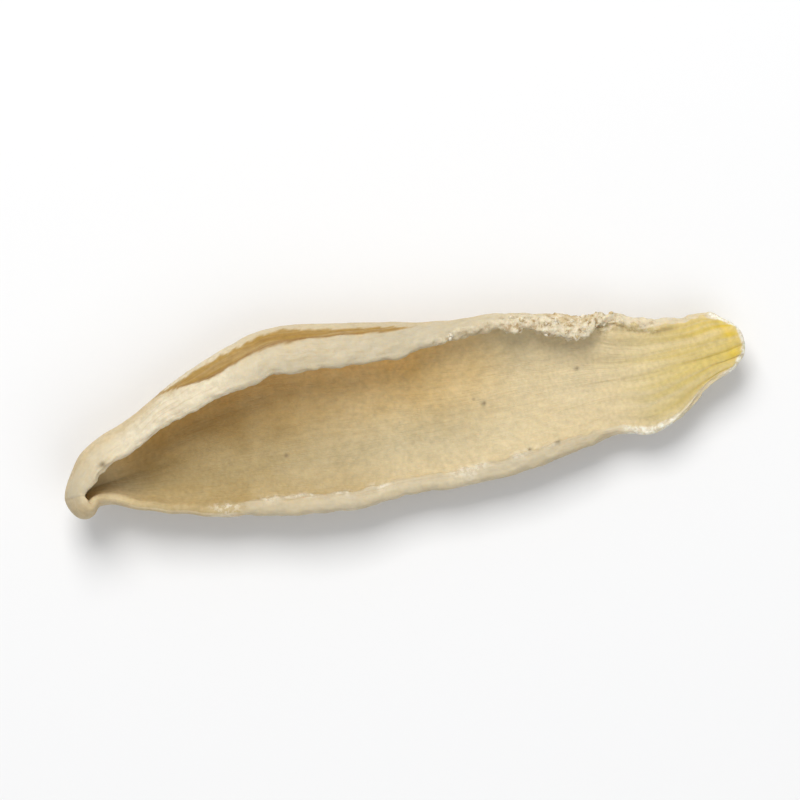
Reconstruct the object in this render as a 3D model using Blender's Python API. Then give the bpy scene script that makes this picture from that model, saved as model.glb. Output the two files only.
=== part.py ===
"""One dried scale of a lily bulb, lying on its rounded back with the hollow side up.

The scale is a single piece, so it is one object. X runs along it, from the hooded tip
to the yellow foot that once sat on the bulb's base plate. Y runs across it and Z is up.
The origin is under the middle of its box, on the surface that it lies on.
Lengths in this file are millimetres until the mesh is made.
"""

import math

import bpy
import numpy as np

MM = 0.001
SEED = 7

TIP_X = -26.25
FOOT_X = 25.9

# Plan of the scale seen from above: how far each long side reaches out, as (x, y).
FAR_SIDE = (
    (-26.25, 1.7), (-25.2, 2.55), (-23.6, 3.25), (-21.0, 4.15), (-18.0, 5.75),
    (-14.2, 7.1), (-11.0, 8.15), (-8.4, 8.65), (-5.6, 8.1), (-1.5, 7.3),
    (3.0, 6.5), (7.5, 6.2), (11.4, 5.15), (13.4, 4.65), (15.7, 4.0), (17.6, 3.6),
    (19.6, 3.5), (22.2, 3.2), (24.4, 3.28), (25.9, 2.95),
)
NEAR_SIDE = (
    (-26.25, -1.85), (-25.6, -1.45), (-25.0, -0.75), (-24.2, -0.5), (-22.8, -0.85),
    (-21.5, -1.6), (-20.2, -2.1),
    (-17.2, -3.0), (-12.4, -3.9), (-8.0, -4.5), (-4.5, -4.8), (0.5, -4.95),
    (5.3, -5.05), (8.6, -4.65), (12.4, -4.2), (15.1, -4.05), (16.6, -4.45),
    (18.0, -4.7), (19.6, -4.2), (21.4, -3.2), (23.4, -2.45), (25.9, -1.7),
)
# Slope in degrees that each wall reaches where its roll starts, as (x, slope).
FAR_WALL = (
    (-26.25, 90), (-10.0, 90), (4.0, 90), (9.0, 88), (12.0, 84), (15.0, 76),
    (16.6, 58), (18.0, 48), (21.0, 42), (25.9, 40),
)
NEAR_WALL = (
    (-26.25, 86), (-22.0, 80), (-14.0, 77), (0.0, 75), (8.0, 72), (13.0, 66),
    (16.0, 52), (19.0, 42), (25.9, 38),
)
# How many degrees each margin is rolled back in over the hollow, as (x, turn).
FAR_TURN = (
    (-26.25, 66), (-24.0, 78), (-21.0, 80), (-17.0, 90), (-13.0, 100), (-9.0, 113),
    (-5.0, 103), (-1.0, 92), (2.0, 74), (6.0, 52), (9.0, 52), (12.2, 74), (13.6, 86),
    (14.6, 84), (16.4, 46), (18.0, 12), (19.5, 0), (25.9, 0),
)
NEAR_TURN = (
    (-26.25, 75), (-25.2, 55), (-24.2, 20), (-22.0, 5), (-14.0, 8), (-8.0, 22), (-3.0, 8),
    (3.0, 8), (8.0, 18), (12.0, 15), (15.0, 6), (17.0, 0), (25.9, 0),
)
FAR_ROLL_RADIUS = 2.1
NEAR_ROLL_RADIUS = 1.5

# Line of the back's lowest points, as (x, y) and (x, height of the back's skin).
KEEL_PLAN = (
    (-26.25, 0.0), (-22.0, 0.9), (-16.0, 1.8), (-9.0, 2.0), (-2.0, 1.3),
    (5.0, 0.7), (12.0, 0.5), (19.0, 0.1), (25.9, 0.6),
)
KEEL_HEIGHT = (
    (-26.25, 3.2), (-25.4, 2.25), (-23.5, 1.35), (-20.0, 0.7), (-14.0, 0.17),
    (-8.0, -0.08), (-2.6, -0.12), (4.0, 0.06), (10.0, 0.52), (16.0, 1.22),
    (21.0, 1.95), (25.9, 2.75),
)
# Height at which the walls stand upright, and how much higher the rolled margins rise.
WALL_HEIGHT = (
    (-26.25, 4.9), (-22.0, 4.5), (-15.0, 4.1), (-8.0, 3.9), (0.0, 3.7),
    (8.0, 3.55), (13.0, 3.4), (16.0, 3.2), (19.0, 3.15), (22.5, 3.25), (25.9, 3.5),
)
FAR_RISE = (
    (-26.25, 1.5), (-20.0, 1.8), (-10.0, 2.25), (-2.0, 2.0), (6.0, 1.7),
    (12.0, 1.25), (15.0, 0.95), (18.0, 0.8), (25.9, 0.55),
)
NEAR_RISE = (
    (-26.25, 1.5), (-20.0, 1.4), (-10.0, 1.6), (0.0, 1.6), (8.0, 1.5),
    (15.0, 1.0), (18.0, 0.6), (25.9, 0.5),
)
# Thickness down the middle of the scale and at each margin, as (x, thickness).
MIDDLE_THICKNESS = (
    (-26.25, 1.2), (-22.0, 1.55), (-14.0, 2.1), (-4.0, 2.35), (6.0, 2.2),
    (14.0, 1.8), (21.0, 1.4), (25.9, 1.1),
)
FAR_EDGE = (
    (-26.25, 0.75), (-15.0, 0.8), (0.0, 0.8), (8.0, 0.85), (12.5, 0.95), (16.0, 0.72),
    (20.0, 0.64), (25.9, 0.62),
)
NEAR_EDGE = (
    (-26.25, 0.75), (-20.0, 0.7), (-14.0, 1.0), (-8.0, 1.18), (0.0, 1.12), (8.0, 1.08),
    (13.0, 0.85), (17.0, 0.66), (25.9, 0.62),
)
FOOT_EDGE = 0.62
THINNING_POWER = 1.15
# Outer line of the cream rim on the far margin, as (x, y). A shrunken strip lies beyond it.
RIM_LINE = (
    (-19.5, 5.2), (-18.1, 6.04), (-15.0, 6.35), (-12.4, 6.88), (-10.4, 7.57),
    (-9.1, 7.77), (-7.2, 7.72), (-2.9, 7.39), (-0.5, 7.05), (1.1, 6.95), (3.0, 7.0),
)

# The tip is a rounded hood that droops to the near side. Its mouth starts HOOD_DEPTH behind it,
# and each margin leans that much further back (+) or forward (-).
HOOD_DEPTH = 1.2
HOOD_LEAN = {"far": 0.4, "near": -0.4}
LEAN_LENGTH = 0.9
HOOD_LENGTH = 4.2
HOOD_RADIUS = {"far": 1.5, "near": 0.95}
# The foot ends in a rounded tongue: its corners stand FOOT_BOW short of its middle.
FOOT_BOW = 2.1
FOOT_LENGTH = 6.0

# Relief: lengthwise ridges, the shrunken strip, the torn stretch and shallow dents.
RIDGE_COUNT = 6
RIDGE_HEIGHT = 0.05
GROOVE_DEPTH = 0.36
GROOVE_SPAN = (-17.6, 0.6)
TEAR_SPAN = (9.5, 16.0)
TEAR_DEPTH = 0.22
DENT_DEPTH = 0.1
WAVE_HEIGHT = 0.09

# Rows along the scale and columns on each side of the keel.
HOOD_ROWS = 6
BODY_ROWS = 56
FOOT_ROWS = 4
FLOOR_COLUMNS = 16
EDGE_COLUMNS = 3

# The back is worn flat by this much where it rests.
FLAT_SPOT_DEPTH = 0.17
CUTTER_SIZE = (40.0, 20.0, 6.0)


def smooth_curve(points):
    """Natural cubic spline through (x, value) points, as a function of x."""
    xs = np.array([p[0] for p in points])
    ys = np.array([p[1] for p in points])
    steps = np.diff(xs)
    slopes = np.diff(ys) / steps
    count = len(xs)
    matrix = np.eye(count)
    right = np.zeros(count)
    for i in range(1, count - 1):
        matrix[i, i - 1:i + 2] = steps[i - 1], 2 * (steps[i - 1] + steps[i]), steps[i]
        right[i] = 6 * (slopes[i] - slopes[i - 1])
    bends = np.linalg.solve(matrix, right)

    def value(x):
        x = np.clip(x, xs[0], xs[-1])
        i = np.clip(np.searchsorted(xs, x) - 1, 0, count - 2)
        left, back = x - xs[i], xs[i + 1] - x
        cubic = (bends[i] * back**3 + bends[i + 1] * left**3) / (6 * steps[i])
        low = (ys[i] / steps[i] - bends[i] * steps[i] / 6) * back
        high = (ys[i + 1] / steps[i] - bends[i + 1] * steps[i] / 6) * left
        return cubic + low + high

    return value


def waves(u, v, wavelength, seed):
    """Gentle irregular waves between about -1 and 1 over the plane of u and v."""
    chance = np.random.RandomState(seed)
    total = np.zeros(np.broadcast(u, v).shape)
    for _ in range(6):
        angle, phase = chance.uniform(0, 2 * math.pi, 2)
        pitch = 2 * math.pi / (wavelength * chance.uniform(0.7, 1.5))
        total += np.sin(pitch * (u * math.cos(angle) + v * math.sin(angle)) + phase)
    return total / 3.2


def fade(x, low, high):
    """0 below low, 1 above high, and a smooth ramp between."""
    t = np.clip((x - low) / (high - low), 0, 1)
    return t * t * (3 - 2 * t)


def span(x, limits, soft):
    """1 between the two limits, fading to 0 outside them over the length soft."""
    return fade(x, limits[0] - soft, limits[0]) * (1 - fade(x, limits[1], limits[1] + soft))


CURVES = {
    "far": smooth_curve(FAR_SIDE),
    "near": smooth_curve(NEAR_SIDE),
    "far_wall": smooth_curve(FAR_WALL),
    "near_wall": smooth_curve(NEAR_WALL),
    "far_turn": smooth_curve(FAR_TURN),
    "near_turn": smooth_curve(NEAR_TURN),
    "keel_y": smooth_curve(KEEL_PLAN),
    "keel_z": smooth_curve(KEEL_HEIGHT),
    "wall_z": smooth_curve(WALL_HEIGHT),
    "far_rise": smooth_curve(FAR_RISE),
    "near_rise": smooth_curve(NEAR_RISE),
    "thickness": smooth_curve(MIDDLE_THICKNESS),
    "far_edge": smooth_curve(FAR_EDGE),
    "near_edge": smooth_curve(NEAR_EDGE),
    "rim_line": smooth_curve(RIM_LINE),
}


def row_positions():
    """The x of each row, close together where the hood and the foot round off."""
    quarter = np.linspace(0, math.pi / 2, HOOD_ROWS + 1)
    hood = TIP_X + HOOD_RADIUS["far"] * (1 - np.cos(quarter))
    last = np.linspace(0, math.pi / 2, FOOT_ROWS + 1)
    foot = FOOT_X - FOOT_EDGE * (1 - np.sin(last))
    body = np.linspace(hood[-1], foot[0], BODY_ROWS + 1)
    return np.concatenate([hood[:-1], body, foot[1:]])


def round_off(x, side):
    """Share of its full width that a side has at x, which rounds the hood's end."""
    return np.sqrt(1 - np.clip(1 - (x - TIP_X) / HOOD_RADIUS[side], 0, 1) ** 2)


def half_section(x, side):
    """Fine points of one half of the cross-section, from the keel out to the margin.

    The half climbs from the keel on part of an ellipse, until it has the wall's slope. Then
    an arc turns it back in over the hollow. It gives the y and z of each point.
    """
    keel_y = float(CURVES["keel_y"](x))
    keel_z = float(CURVES["keel_z"](x) + CURVES["thickness"](x) / 2)
    height = float(CURVES["wall_z"](x)) - keel_z
    reach = (float(CURVES[side](x)) - keel_y) * round_off(x, side)
    outward = math.copysign(1.0, reach)
    steep = math.radians(min(90.0, float(CURVES[side + "_wall"](x))))
    low = np.linspace(0, steep, 60)
    y = keel_y + reach * np.sin(low) / math.sin(steep)
    z = keel_z + height * (1 - np.cos(low)) / (1 - math.cos(steep))
    slope = math.atan2(z[-1] - z[-2], abs(y[-1] - y[-2]))
    radius = min(FAR_ROLL_RADIUS if side == "far" else NEAR_ROLL_RADIUS, abs(reach))
    rise = float(CURVES[side + "_rise"](x))
    turn = slope + np.linspace(0, math.radians(max(0.5, float(CURVES[side + "_turn"](x)))), 40)[1:]
    y = np.concatenate([y, y[-1] + outward * radius * (np.sin(turn) - math.sin(slope))])
    z = np.concatenate([z, z[-1] + rise * (math.cos(slope) - np.cos(turn))])
    return y, z


def sample_half(x, side):
    """Evenly spread columns of one half-section: y, z, share out and distance to the margin."""
    y, z = half_section(x, side)
    run = np.concatenate([[0], np.cumsum(np.hypot(np.diff(y), np.diff(z)))])
    edge = min(float(CURVES[side + "_edge"](x)) / 2 / run[-1], 0.25)
    floor = np.linspace(0, 1 - edge, FLOOR_COLUMNS + 1)
    turn = np.linspace(0, math.pi / 2, EDGE_COLUMNS + 1)[1:]
    share = np.concatenate([floor, 1 - edge + edge * np.sin(turn)])
    at = share * run[-1]
    return np.interp(at, run, y), np.interp(at, run, z), share, run[-1] - at


def middle_sheet():
    """The sheet that runs halfway through the wall, as a grid of points with its measures.

    Columns run from the near margin over the keel to the far margin.
    """
    rows = row_positions()
    columns = 2 * (FLOOR_COLUMNS + EDGE_COLUMNS) + 1
    points = np.zeros((len(rows), columns, 3))
    share = np.zeros((len(rows), columns))
    margin = np.zeros((len(rows), columns))
    for i, x in enumerate(rows):
        near = sample_half(x, "near")
        far = sample_half(x, "far")
        y, z, s, d = [np.concatenate([a[::-1], b[1:]]) for a, b in zip(near, far)]
        s[:len(near[0]) - 1] *= -1
        lean = np.where(s < 0, HOOD_LEAN["near"], HOOD_LEAN["far"]) * fade(x, TIP_X, TIP_X + LEAN_LENGTH)
        hood = HOOD_DEPTH * s**2 + lean * np.abs(s) ** 1.5
        hood *= 1 - fade(x, TIP_X, TIP_X + HOOD_LENGTH)
        foot = FOOT_BOW * fade(x, FOOT_X - FOOT_LENGTH, FOOT_X)
        points[i, :, 0] = x + hood - foot * np.abs(s) ** 2.6
        points[i, :, 1] = y
        points[i, :, 2] = z
        share[i] = s
        margin[i] = d
    # The first row is the stem of the hood, where the two sides meet.
    points[0] = (points[0] + points[0, ::-1]) / 2
    return points, share, margin


def sheet_normals(points):
    """Unit normals of the grid, pointing into the hollow."""
    along = np.gradient(points, axis=0)
    across = np.gradient(points, axis=1)
    normals = np.cross(along, across)
    normals[0] = normals[0] + normals[0, ::-1]
    lengths = np.linalg.norm(normals, axis=2, keepdims=True)
    return normals / np.maximum(lengths, 1e-9)


def relief(points, share, margin):
    """How far the wall's skin is raised (+) or sunk (-), for the sheet and for its thickness."""
    x, across = points[:, :, 0], share * 11.0
    away = fade(margin, 0.0, 1.2)
    dents = DENT_DEPTH * waves(x, across, 9.0, SEED)
    ripple = WAVE_HEIGHT * (1 - fade(margin, 0.5, 3.5)) * waves(x, across * 0.3, 3.2, SEED + 1)
    sheet = dents + ripple
    ridges = RIDGE_HEIGHT * np.cos(share * math.pi * RIDGE_COUNT) * away
    ridges *= 0.4 + 0.6 * fade(x, 8.0, 18.0)
    ridges *= 1 - 0.7 * fade(x, 22.5, FOOT_X)
    tear = TEAR_DEPTH * waves(x, margin, 2.4, SEED + 2) * span(x, TEAR_SPAN, 1.5)
    tear *= (share > 0) * (1 - fade(margin, 0.4, 2.2)) * fade(margin, 0.0, 0.4)
    hood = fade(x, TIP_X + 0.5, TIP_X + 4.0)
    return sheet * hood, ridges * hood, tear


def shoulder_groove(points, share):
    """Depth of the shrunken strip on the back of the far margin, outside its cream rim."""
    x = points[:, :, 0]
    rim = CURVES["rim_line"](x)
    width = np.maximum(CURVES["far"](x) + 0.42 - rim, 0.08)
    beyond = (points[:, :, 1] + 0.3 - rim) / width
    place = span(x, GROOVE_SPAN, 1.6) * (share > 0) * fade(points[:, :, 2], 3.6, 4.6)
    place *= fade(width, 0.1, 0.6) * np.clip(width / 1.2, 0, 1)
    return GROOVE_DEPTH * place * np.exp(-(((beyond - 0.42) / 0.3) ** 2))


def wall_faces():
    """The inner and the outer skin as two grids of points, in millimetres."""
    points, share, margin = middle_sheet()
    normals = sheet_normals(points)
    sheet, ridges, tear = relief(points, share, margin)
    points = points + normals * sheet[:, :, None]
    x = row_positions()[:, None]
    middle = CURVES["thickness"](x)
    thinning = np.maximum(1 - share**2, 0) ** THINNING_POWER
    margins = np.where(share < 0, CURVES["near_edge"](x), CURVES["far_edge"](x))
    thickness = margins + (middle - margins) * thinning
    to_foot = np.broadcast_to(FOOT_X - x, share.shape)
    edge = np.minimum(margin, to_foot)
    rounded = np.sqrt(1 - np.clip(1 - edge / (thickness / 2), 0, 1) ** 2)
    groove = shoulder_groove(points, share)
    half = rounded * thickness / 2
    # The inner skin closes up inside the narrow hood, so its two sides never cross.
    wide = CURVES["far"](x) - CURVES["keel_y"](x)
    closing = np.minimum(1, 1.1 * wide * round_off(x, "far") / middle)
    inner = points + normals * (half * closing + (ridges + tear) * rounded)[:, :, None]
    outer = points - normals * (half + (0.6 * ridges - groove) * rounded)[:, :, None]
    return inner, outer


def shell_mesh(name):
    """A closed mesh of the two skins, joined along the margins, the foot and the stem.

    Returns the mesh, centred over the origin, with the resting plane at z = 0.
    """
    inner, outer = wall_faces()
    both = np.concatenate([inner.reshape(-1, 3), outer.reshape(-1, 3)])
    low, high = both.min(axis=0), both.max(axis=0)
    shift = np.array([(low[0] + high[0]) / 2, (low[1] + high[1]) / 2, low[2] + FLAT_SPOT_DEPTH])
    rows, columns = inner.shape[:2]
    vertices = []
    index = {}

    def corner(skin, i, j):
        if i == 0:
            j = min(j, columns - 1 - j)
        if j in (0, columns - 1) or i == rows - 1:
            skin = 0
        key = (skin, i, j)
        if key not in index:
            index[key] = len(vertices)
            grid = outer if skin else inner
            vertices.append((grid[i, j] - shift) * MM)
        return index[key]

    faces = []
    for skin in (0, 1):
        for i in range(rows - 1):
            for j in range(columns - 1):
                loop = [corner(skin, i, j), corner(skin, i + 1, j),
                        corner(skin, i + 1, j + 1), corner(skin, i, j + 1)]
                if skin:
                    loop.reverse()
                unique = list(dict.fromkeys(loop))
                if len(unique) > 2:
                    faces.append(unique)
    mesh = bpy.data.meshes.new(name)
    mesh.from_pydata(vertices, [], faces)
    mesh.validate()
    mesh.update()
    return mesh


def flat_spot_cutter(name):
    """A block under the resting plane, which takes the rounded back's lowest skin off."""
    half = [size * MM / 2 for size in CUTTER_SIZE]
    corners = [(x, y, z) for x in (-half[0], half[0]) for y in (-half[1], half[1])
               for z in (-2 * half[2], 0.0)]
    sides = [(0, 1, 3, 2), (4, 6, 7, 5), (0, 4, 5, 1), (2, 3, 7, 6), (0, 2, 6, 4), (1, 5, 7, 3)]
    mesh = bpy.data.meshes.new(name)
    mesh.from_pydata(corners, [], sides)
    mesh.update()
    cutter = bpy.data.objects.new(name, mesh)
    bpy.context.scene.collection.objects.link(cutter)
    cutter.hide_render = True
    cutter.display_type = "WIRE"
    return cutter


def scale_material():
    """Dull cream of the dried scale."""
    material = bpy.data.materials.new("dried_scale")
    material.use_nodes = True
    surface = material.node_tree.nodes["Principled BSDF"]
    surface.inputs["Base Color"].default_value = (0.62, 0.47, 0.28, 1.0)
    surface.inputs["Roughness"].default_value = 0.55
    return material


def main():
    for obj in list(bpy.data.objects):
        bpy.data.objects.remove(obj)
    mesh = shell_mesh("bulb_scale")
    mesh.materials.append(scale_material())
    scale = bpy.data.objects.new("bulb_scale", mesh)
    bpy.context.scene.collection.objects.link(scale)
    cut = scale.modifiers.new("flat_spot", "BOOLEAN")
    cut.operation = "DIFFERENCE"
    cut.solver = "EXACT"
    cut.object = flat_spot_cutter("flat_spot_cutter")


main()
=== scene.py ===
"""Looks of one dried lily bulb scale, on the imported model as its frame."""

from __future__ import annotations

import logging
import math
from dataclasses import dataclass
from enum import Enum
from typing import Callable

import bpy
import numpy as np
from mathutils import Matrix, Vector


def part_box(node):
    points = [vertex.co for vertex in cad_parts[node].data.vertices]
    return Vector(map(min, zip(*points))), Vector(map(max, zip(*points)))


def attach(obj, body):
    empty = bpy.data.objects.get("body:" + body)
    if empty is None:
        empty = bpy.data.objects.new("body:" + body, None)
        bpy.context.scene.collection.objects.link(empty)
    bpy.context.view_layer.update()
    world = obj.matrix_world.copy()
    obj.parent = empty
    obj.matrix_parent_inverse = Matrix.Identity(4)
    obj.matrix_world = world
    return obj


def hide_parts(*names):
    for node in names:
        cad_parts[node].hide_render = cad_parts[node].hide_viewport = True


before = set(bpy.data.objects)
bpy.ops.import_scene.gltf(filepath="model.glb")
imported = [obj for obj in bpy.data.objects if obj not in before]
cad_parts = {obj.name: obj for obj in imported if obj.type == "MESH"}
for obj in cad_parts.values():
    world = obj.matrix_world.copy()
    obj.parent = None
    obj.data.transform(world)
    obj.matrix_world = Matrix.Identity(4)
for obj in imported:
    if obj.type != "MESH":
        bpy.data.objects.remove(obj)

LOG = logging.getLogger("lily_scale")
MM = 0.001
Points = tuple[tuple[float, float], ...]
Colour = tuple[float, float, float]
Tint = tuple[float, float, float, float]

# Painted shade towards the hood's tip, where the hood keeps light out of the hollow.
TIP_SHADE_TINT: Tint = (0.68, 0.61, 0.45, 1)
# Painted shade over the hollow's middle and some stretches near its margins.
HOLLOW_SHADE_TINT: Tint = (0.72, 0.74, 0.74, 1)
DULL_TINT: Tint = (0.76, 0.76, 0.75, 1)
WORN_RIM: Tint = (0.66, 0.55, 0.35, 1)
# Painted highlight on thin edges and wrinkle crests of the margins.
PAINTED_HIGHLIGHT: Tint = (0.88, 0.85, 0.73, 1)
# Painted shade in the grooves of the wrinkled rim.
WRINKLE_SHADE: Tint = (0.5, 0.38, 0.2, 1)
# Painted contact shadow just outside the cream band, and a brown line within the strip.
CREASE_SHADOW_BROWN: Tint = (0.26, 0.135, 0.04, 1)
TORN_PIT: Tint = (0.36, 0.23, 0.09, 1)
TORN_LUMP: Tint = (0.82, 0.74, 0.58, 1)
SPECK_BROWN: Tint = (0.12, 0.08, 0.045, 1)


class Skin(Enum):
    """The two sides of the scale's wall."""

    HOLLOW = 0
    BACK = 1


class Side(Enum):
    """The two long margins of the scale."""

    FAR = "far"
    NEAR = "near"


def smooth_curve(points: Points) -> Callable[[np.ndarray], np.ndarray]:
    """Natural cubic spline through points.

    Args:
        points: (x, value) pairs with rising x.

    Returns:
        A function of x that holds its end values past the ends.
    """
    xs = np.array([p[0] for p in points])
    ys = np.array([p[1] for p in points])
    steps = np.diff(xs)
    slopes = np.diff(ys) / steps
    count = len(xs)
    matrix = np.eye(count)
    right = np.zeros(count)
    for i in range(1, count - 1):
        matrix[i, i - 1:i + 2] = steps[i - 1], 2 * (steps[i - 1] + steps[i]), steps[i]
        right[i] = 6 * (slopes[i] - slopes[i - 1])
    bends = np.linalg.solve(matrix, right)

    def value(x: np.ndarray) -> np.ndarray:
        """Read the spline.

        Args:
            x: Places to read it at.

        Returns:
            Its height at each place.
        """
        x = np.clip(x, xs[0], xs[-1])
        i = np.clip(np.searchsorted(xs, x) - 1, 0, count - 2)
        left, back = x - xs[i], xs[i + 1] - x
        cubic = (bends[i] * back**3 + bends[i + 1] * left**3) / (6 * steps[i])
        low = (ys[i] / steps[i] - bends[i] * steps[i] / 6) * back
        high = (ys[i + 1] / steps[i] - bends[i + 1] * steps[i] / 6) * left
        return cubic + low + high

    return value


def fade(x: np.ndarray, low: float, high: float) -> np.ndarray:
    """Smooth ramp over x.

    Args:
        x: Values to read the ramp at.
        low: Where the ramp starts, at 0.
        high: Where it ends, at 1.

    Returns:
        0 below low, 1 above high, and a smooth ramp between.
    """
    t = np.clip((x - low) / (high - low), 0, 1)
    return t * t * (3 - 2 * t)


def span(x: np.ndarray, limits: tuple[float, float], soft: float) -> np.ndarray:
    """Smooth plateau over x.

    Args:
        x: Values to read the plateau at.
        limits: The two ends of the plateau.
        soft: Length of the fade outside each end.

    Returns:
        1 between the limits, fading to 0 outside them.
    """
    return fade(x, limits[0] - soft, limits[0]) * (1 - fade(x, limits[1], limits[1] + soft))


def bump(x: np.ndarray, centre: float, width: float) -> np.ndarray:
    """A bell of height 1 round centre."""
    return np.exp(-(((x - centre) / width) ** 2))


def waves(u: np.ndarray, v: np.ndarray, wavelength: float, seed: int, count: int = 6) -> np.ndarray:
    """Gentle irregular waves over the plane of u and v.

    Args:
        u: First coordinate.
        v: Second coordinate.
        wavelength: Middle distance from crest to crest.
        seed: Seed of the draw of directions and phases.
        count: How many plain waves are added.

    Returns:
        Values between about -1 and 1.
    """
    chance = np.random.RandomState(seed)
    total = np.zeros(np.broadcast(u, v).shape)
    for _ in range(count):
        angle, phase = chance.uniform(0, 2 * math.pi, 2)
        pitch = 2 * math.pi / (wavelength * chance.uniform(0.7, 1.5))
        total += np.sin(pitch * (u * math.cos(angle) + v * math.sin(angle)) + phase)
    return total / (0.53 * count)


def along_lines(x: np.ndarray, points: Points) -> np.ndarray:
    """Straight lines through (x, value) points, read at x."""
    places, values = zip(*points)
    return np.interp(x, places, values)


@dataclass
class NodeBoard:
    """Short way to place and join the nodes of one tree."""

    tree: bpy.types.NodeTree

    def node(self, kind: str, inputs: dict | None = None, **settings: object) -> bpy.types.Node:
        """Place a node.

        Args:
            kind: Blender's name of the node type.
            inputs: Values or sockets by the input's name or number.
            settings: The node's own settings.

        Returns:
            The new node.
        """
        node = self.tree.nodes.new(kind)
        node.location = (220 * (len(self.tree.nodes) % 12), -260 * (len(self.tree.nodes) // 12))
        for name, value in settings.items():
            setattr(node, name, value)
        for key, value in (inputs or {}).items():
            self.feed(node.inputs[key], value)
        return node

    def feed(self, socket: bpy.types.NodeSocket, value: object) -> None:
        """Link a socket into an input, or set the input's own value.

        Args:
            socket: The input.
            value: A socket to link, or a plain value.
        """
        if isinstance(value, bpy.types.NodeSocket):
            self.tree.links.new(value, socket)
        else:
            socket.default_value = value

    def math(self, operation: str, *values: object, clamp: bool = False) -> bpy.types.NodeSocket:
        """Place a Math node.

        Args:
            operation: Blender's name of the operation.
            values: Up to three numbers or sockets.
            clamp: Whether the result is held between 0 and 1.

        Returns:
            The node's output.
        """
        inputs = dict(enumerate(values))
        return self.node("ShaderNodeMath", inputs, operation=operation, use_clamp=clamp).outputs[0]

    def kept(self, name: str) -> bpy.types.NodeSocket:
        """Read a measure that is kept on the mesh.

        Args:
            name: The attribute's name.

        Returns:
            Its value's socket, in a geometry tree or in a shader.
        """
        if isinstance(self.tree, bpy.types.GeometryNodeTree):
            inputs = {"Name": name}
            return self.node("GeometryNodeInputNamedAttribute", inputs, data_type="FLOAT").outputs[0]
        return self.node("ShaderNodeAttribute", attribute_name=name).outputs["Fac"]

    def scaled(self, vector: object, factor: object) -> bpy.types.NodeSocket:
        """A vector times a number."""
        return self.node("ShaderNodeVectorMath", {0: vector, 3: factor}, operation="SCALE").outputs[0]

    def noise(self, place: object, scale: object, detail: float,
              roughness: object = 0.5) -> bpy.types.NodeSocket:
        """Place a noise texture.

        Args:
            place: Where it is read.
            scale: How many times it turns in one unit of the place.
            detail: How many finer layers it has.
            roughness: How strong the finer layers are.

        Returns:
            The noise's value, which is 0.5 in the middle.
        """
        inputs = {"Vector": place, "Scale": scale, "Detail": detail, "Roughness": roughness}
        return self.node("ShaderNodeTexNoise", inputs).outputs[0]

    def product(self, *values: object) -> bpy.types.NodeSocket:
        """Multiply values, from the first to the last.

        Args:
            values: Two or more numbers or sockets.

        Returns:
            The product's socket.
        """
        result = values[0]
        for value in values[1:]:
            result = self.math("MULTIPLY", result, value)
        return result

    def masked(self, mask: object, amount: object) -> bpy.types.NodeSocket:
        """Mask times amount, held between 0 and 1."""
        return self.math("MULTIPLY", mask, amount, clamp=True)

    def ramp(self, value: object, low: float, high: float) -> bpy.types.NodeSocket:
        """Smooth ramp over a value.

        Args:
            value: Number or socket that is read.
            low: Where the ramp is 0.
            high: Where it is 1, which may lie below low.

        Returns:
            The ramp's socket.
        """
        inputs = {"Value": value, "From Min": low, "From Max": high}
        node = self.node("ShaderNodeMapRange", inputs, interpolation_type="SMOOTHSTEP")
        return node.outputs["Result"]

    def mix(self, factor: object, first: object, second: object, blend: str = "MIX") -> bpy.types.NodeSocket:
        """Mix two colours.

        Args:
            factor: 0 for the first colour, to 1 for the blend with the second.
            first: The colour below.
            second: The colour above.
            blend: Blender's name of the blend.

        Returns:
            The mixed colour's socket.
        """
        node = self.node("ShaderNodeMix", data_type="RGBA", blend_type=blend)
        for key, value in ((0, factor), (6, first), (7, second)):
            self.feed(node.inputs[key], value)
        return node.outputs[2]

    def sockets(self, inputs: dict[str, tuple[str, object]], outputs: dict[str, str]) -> tuple:
        """Make the tree's own sockets.

        Args:
            inputs: Name to (socket type, default value or None).
            outputs: Name to socket type.

        Returns:
            The group's input node and output node.
        """
        for name, (kind, value) in inputs.items():
            socket = self.tree.interface.new_socket(name, in_out="INPUT", socket_type=kind)
            if value is not None:
                socket.default_value = value
        for name, kind in outputs.items():
            self.tree.interface.new_socket(name, in_out="OUTPUT", socket_type=kind)
        return self.node("NodeGroupInput"), self.node("NodeGroupOutput")


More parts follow.
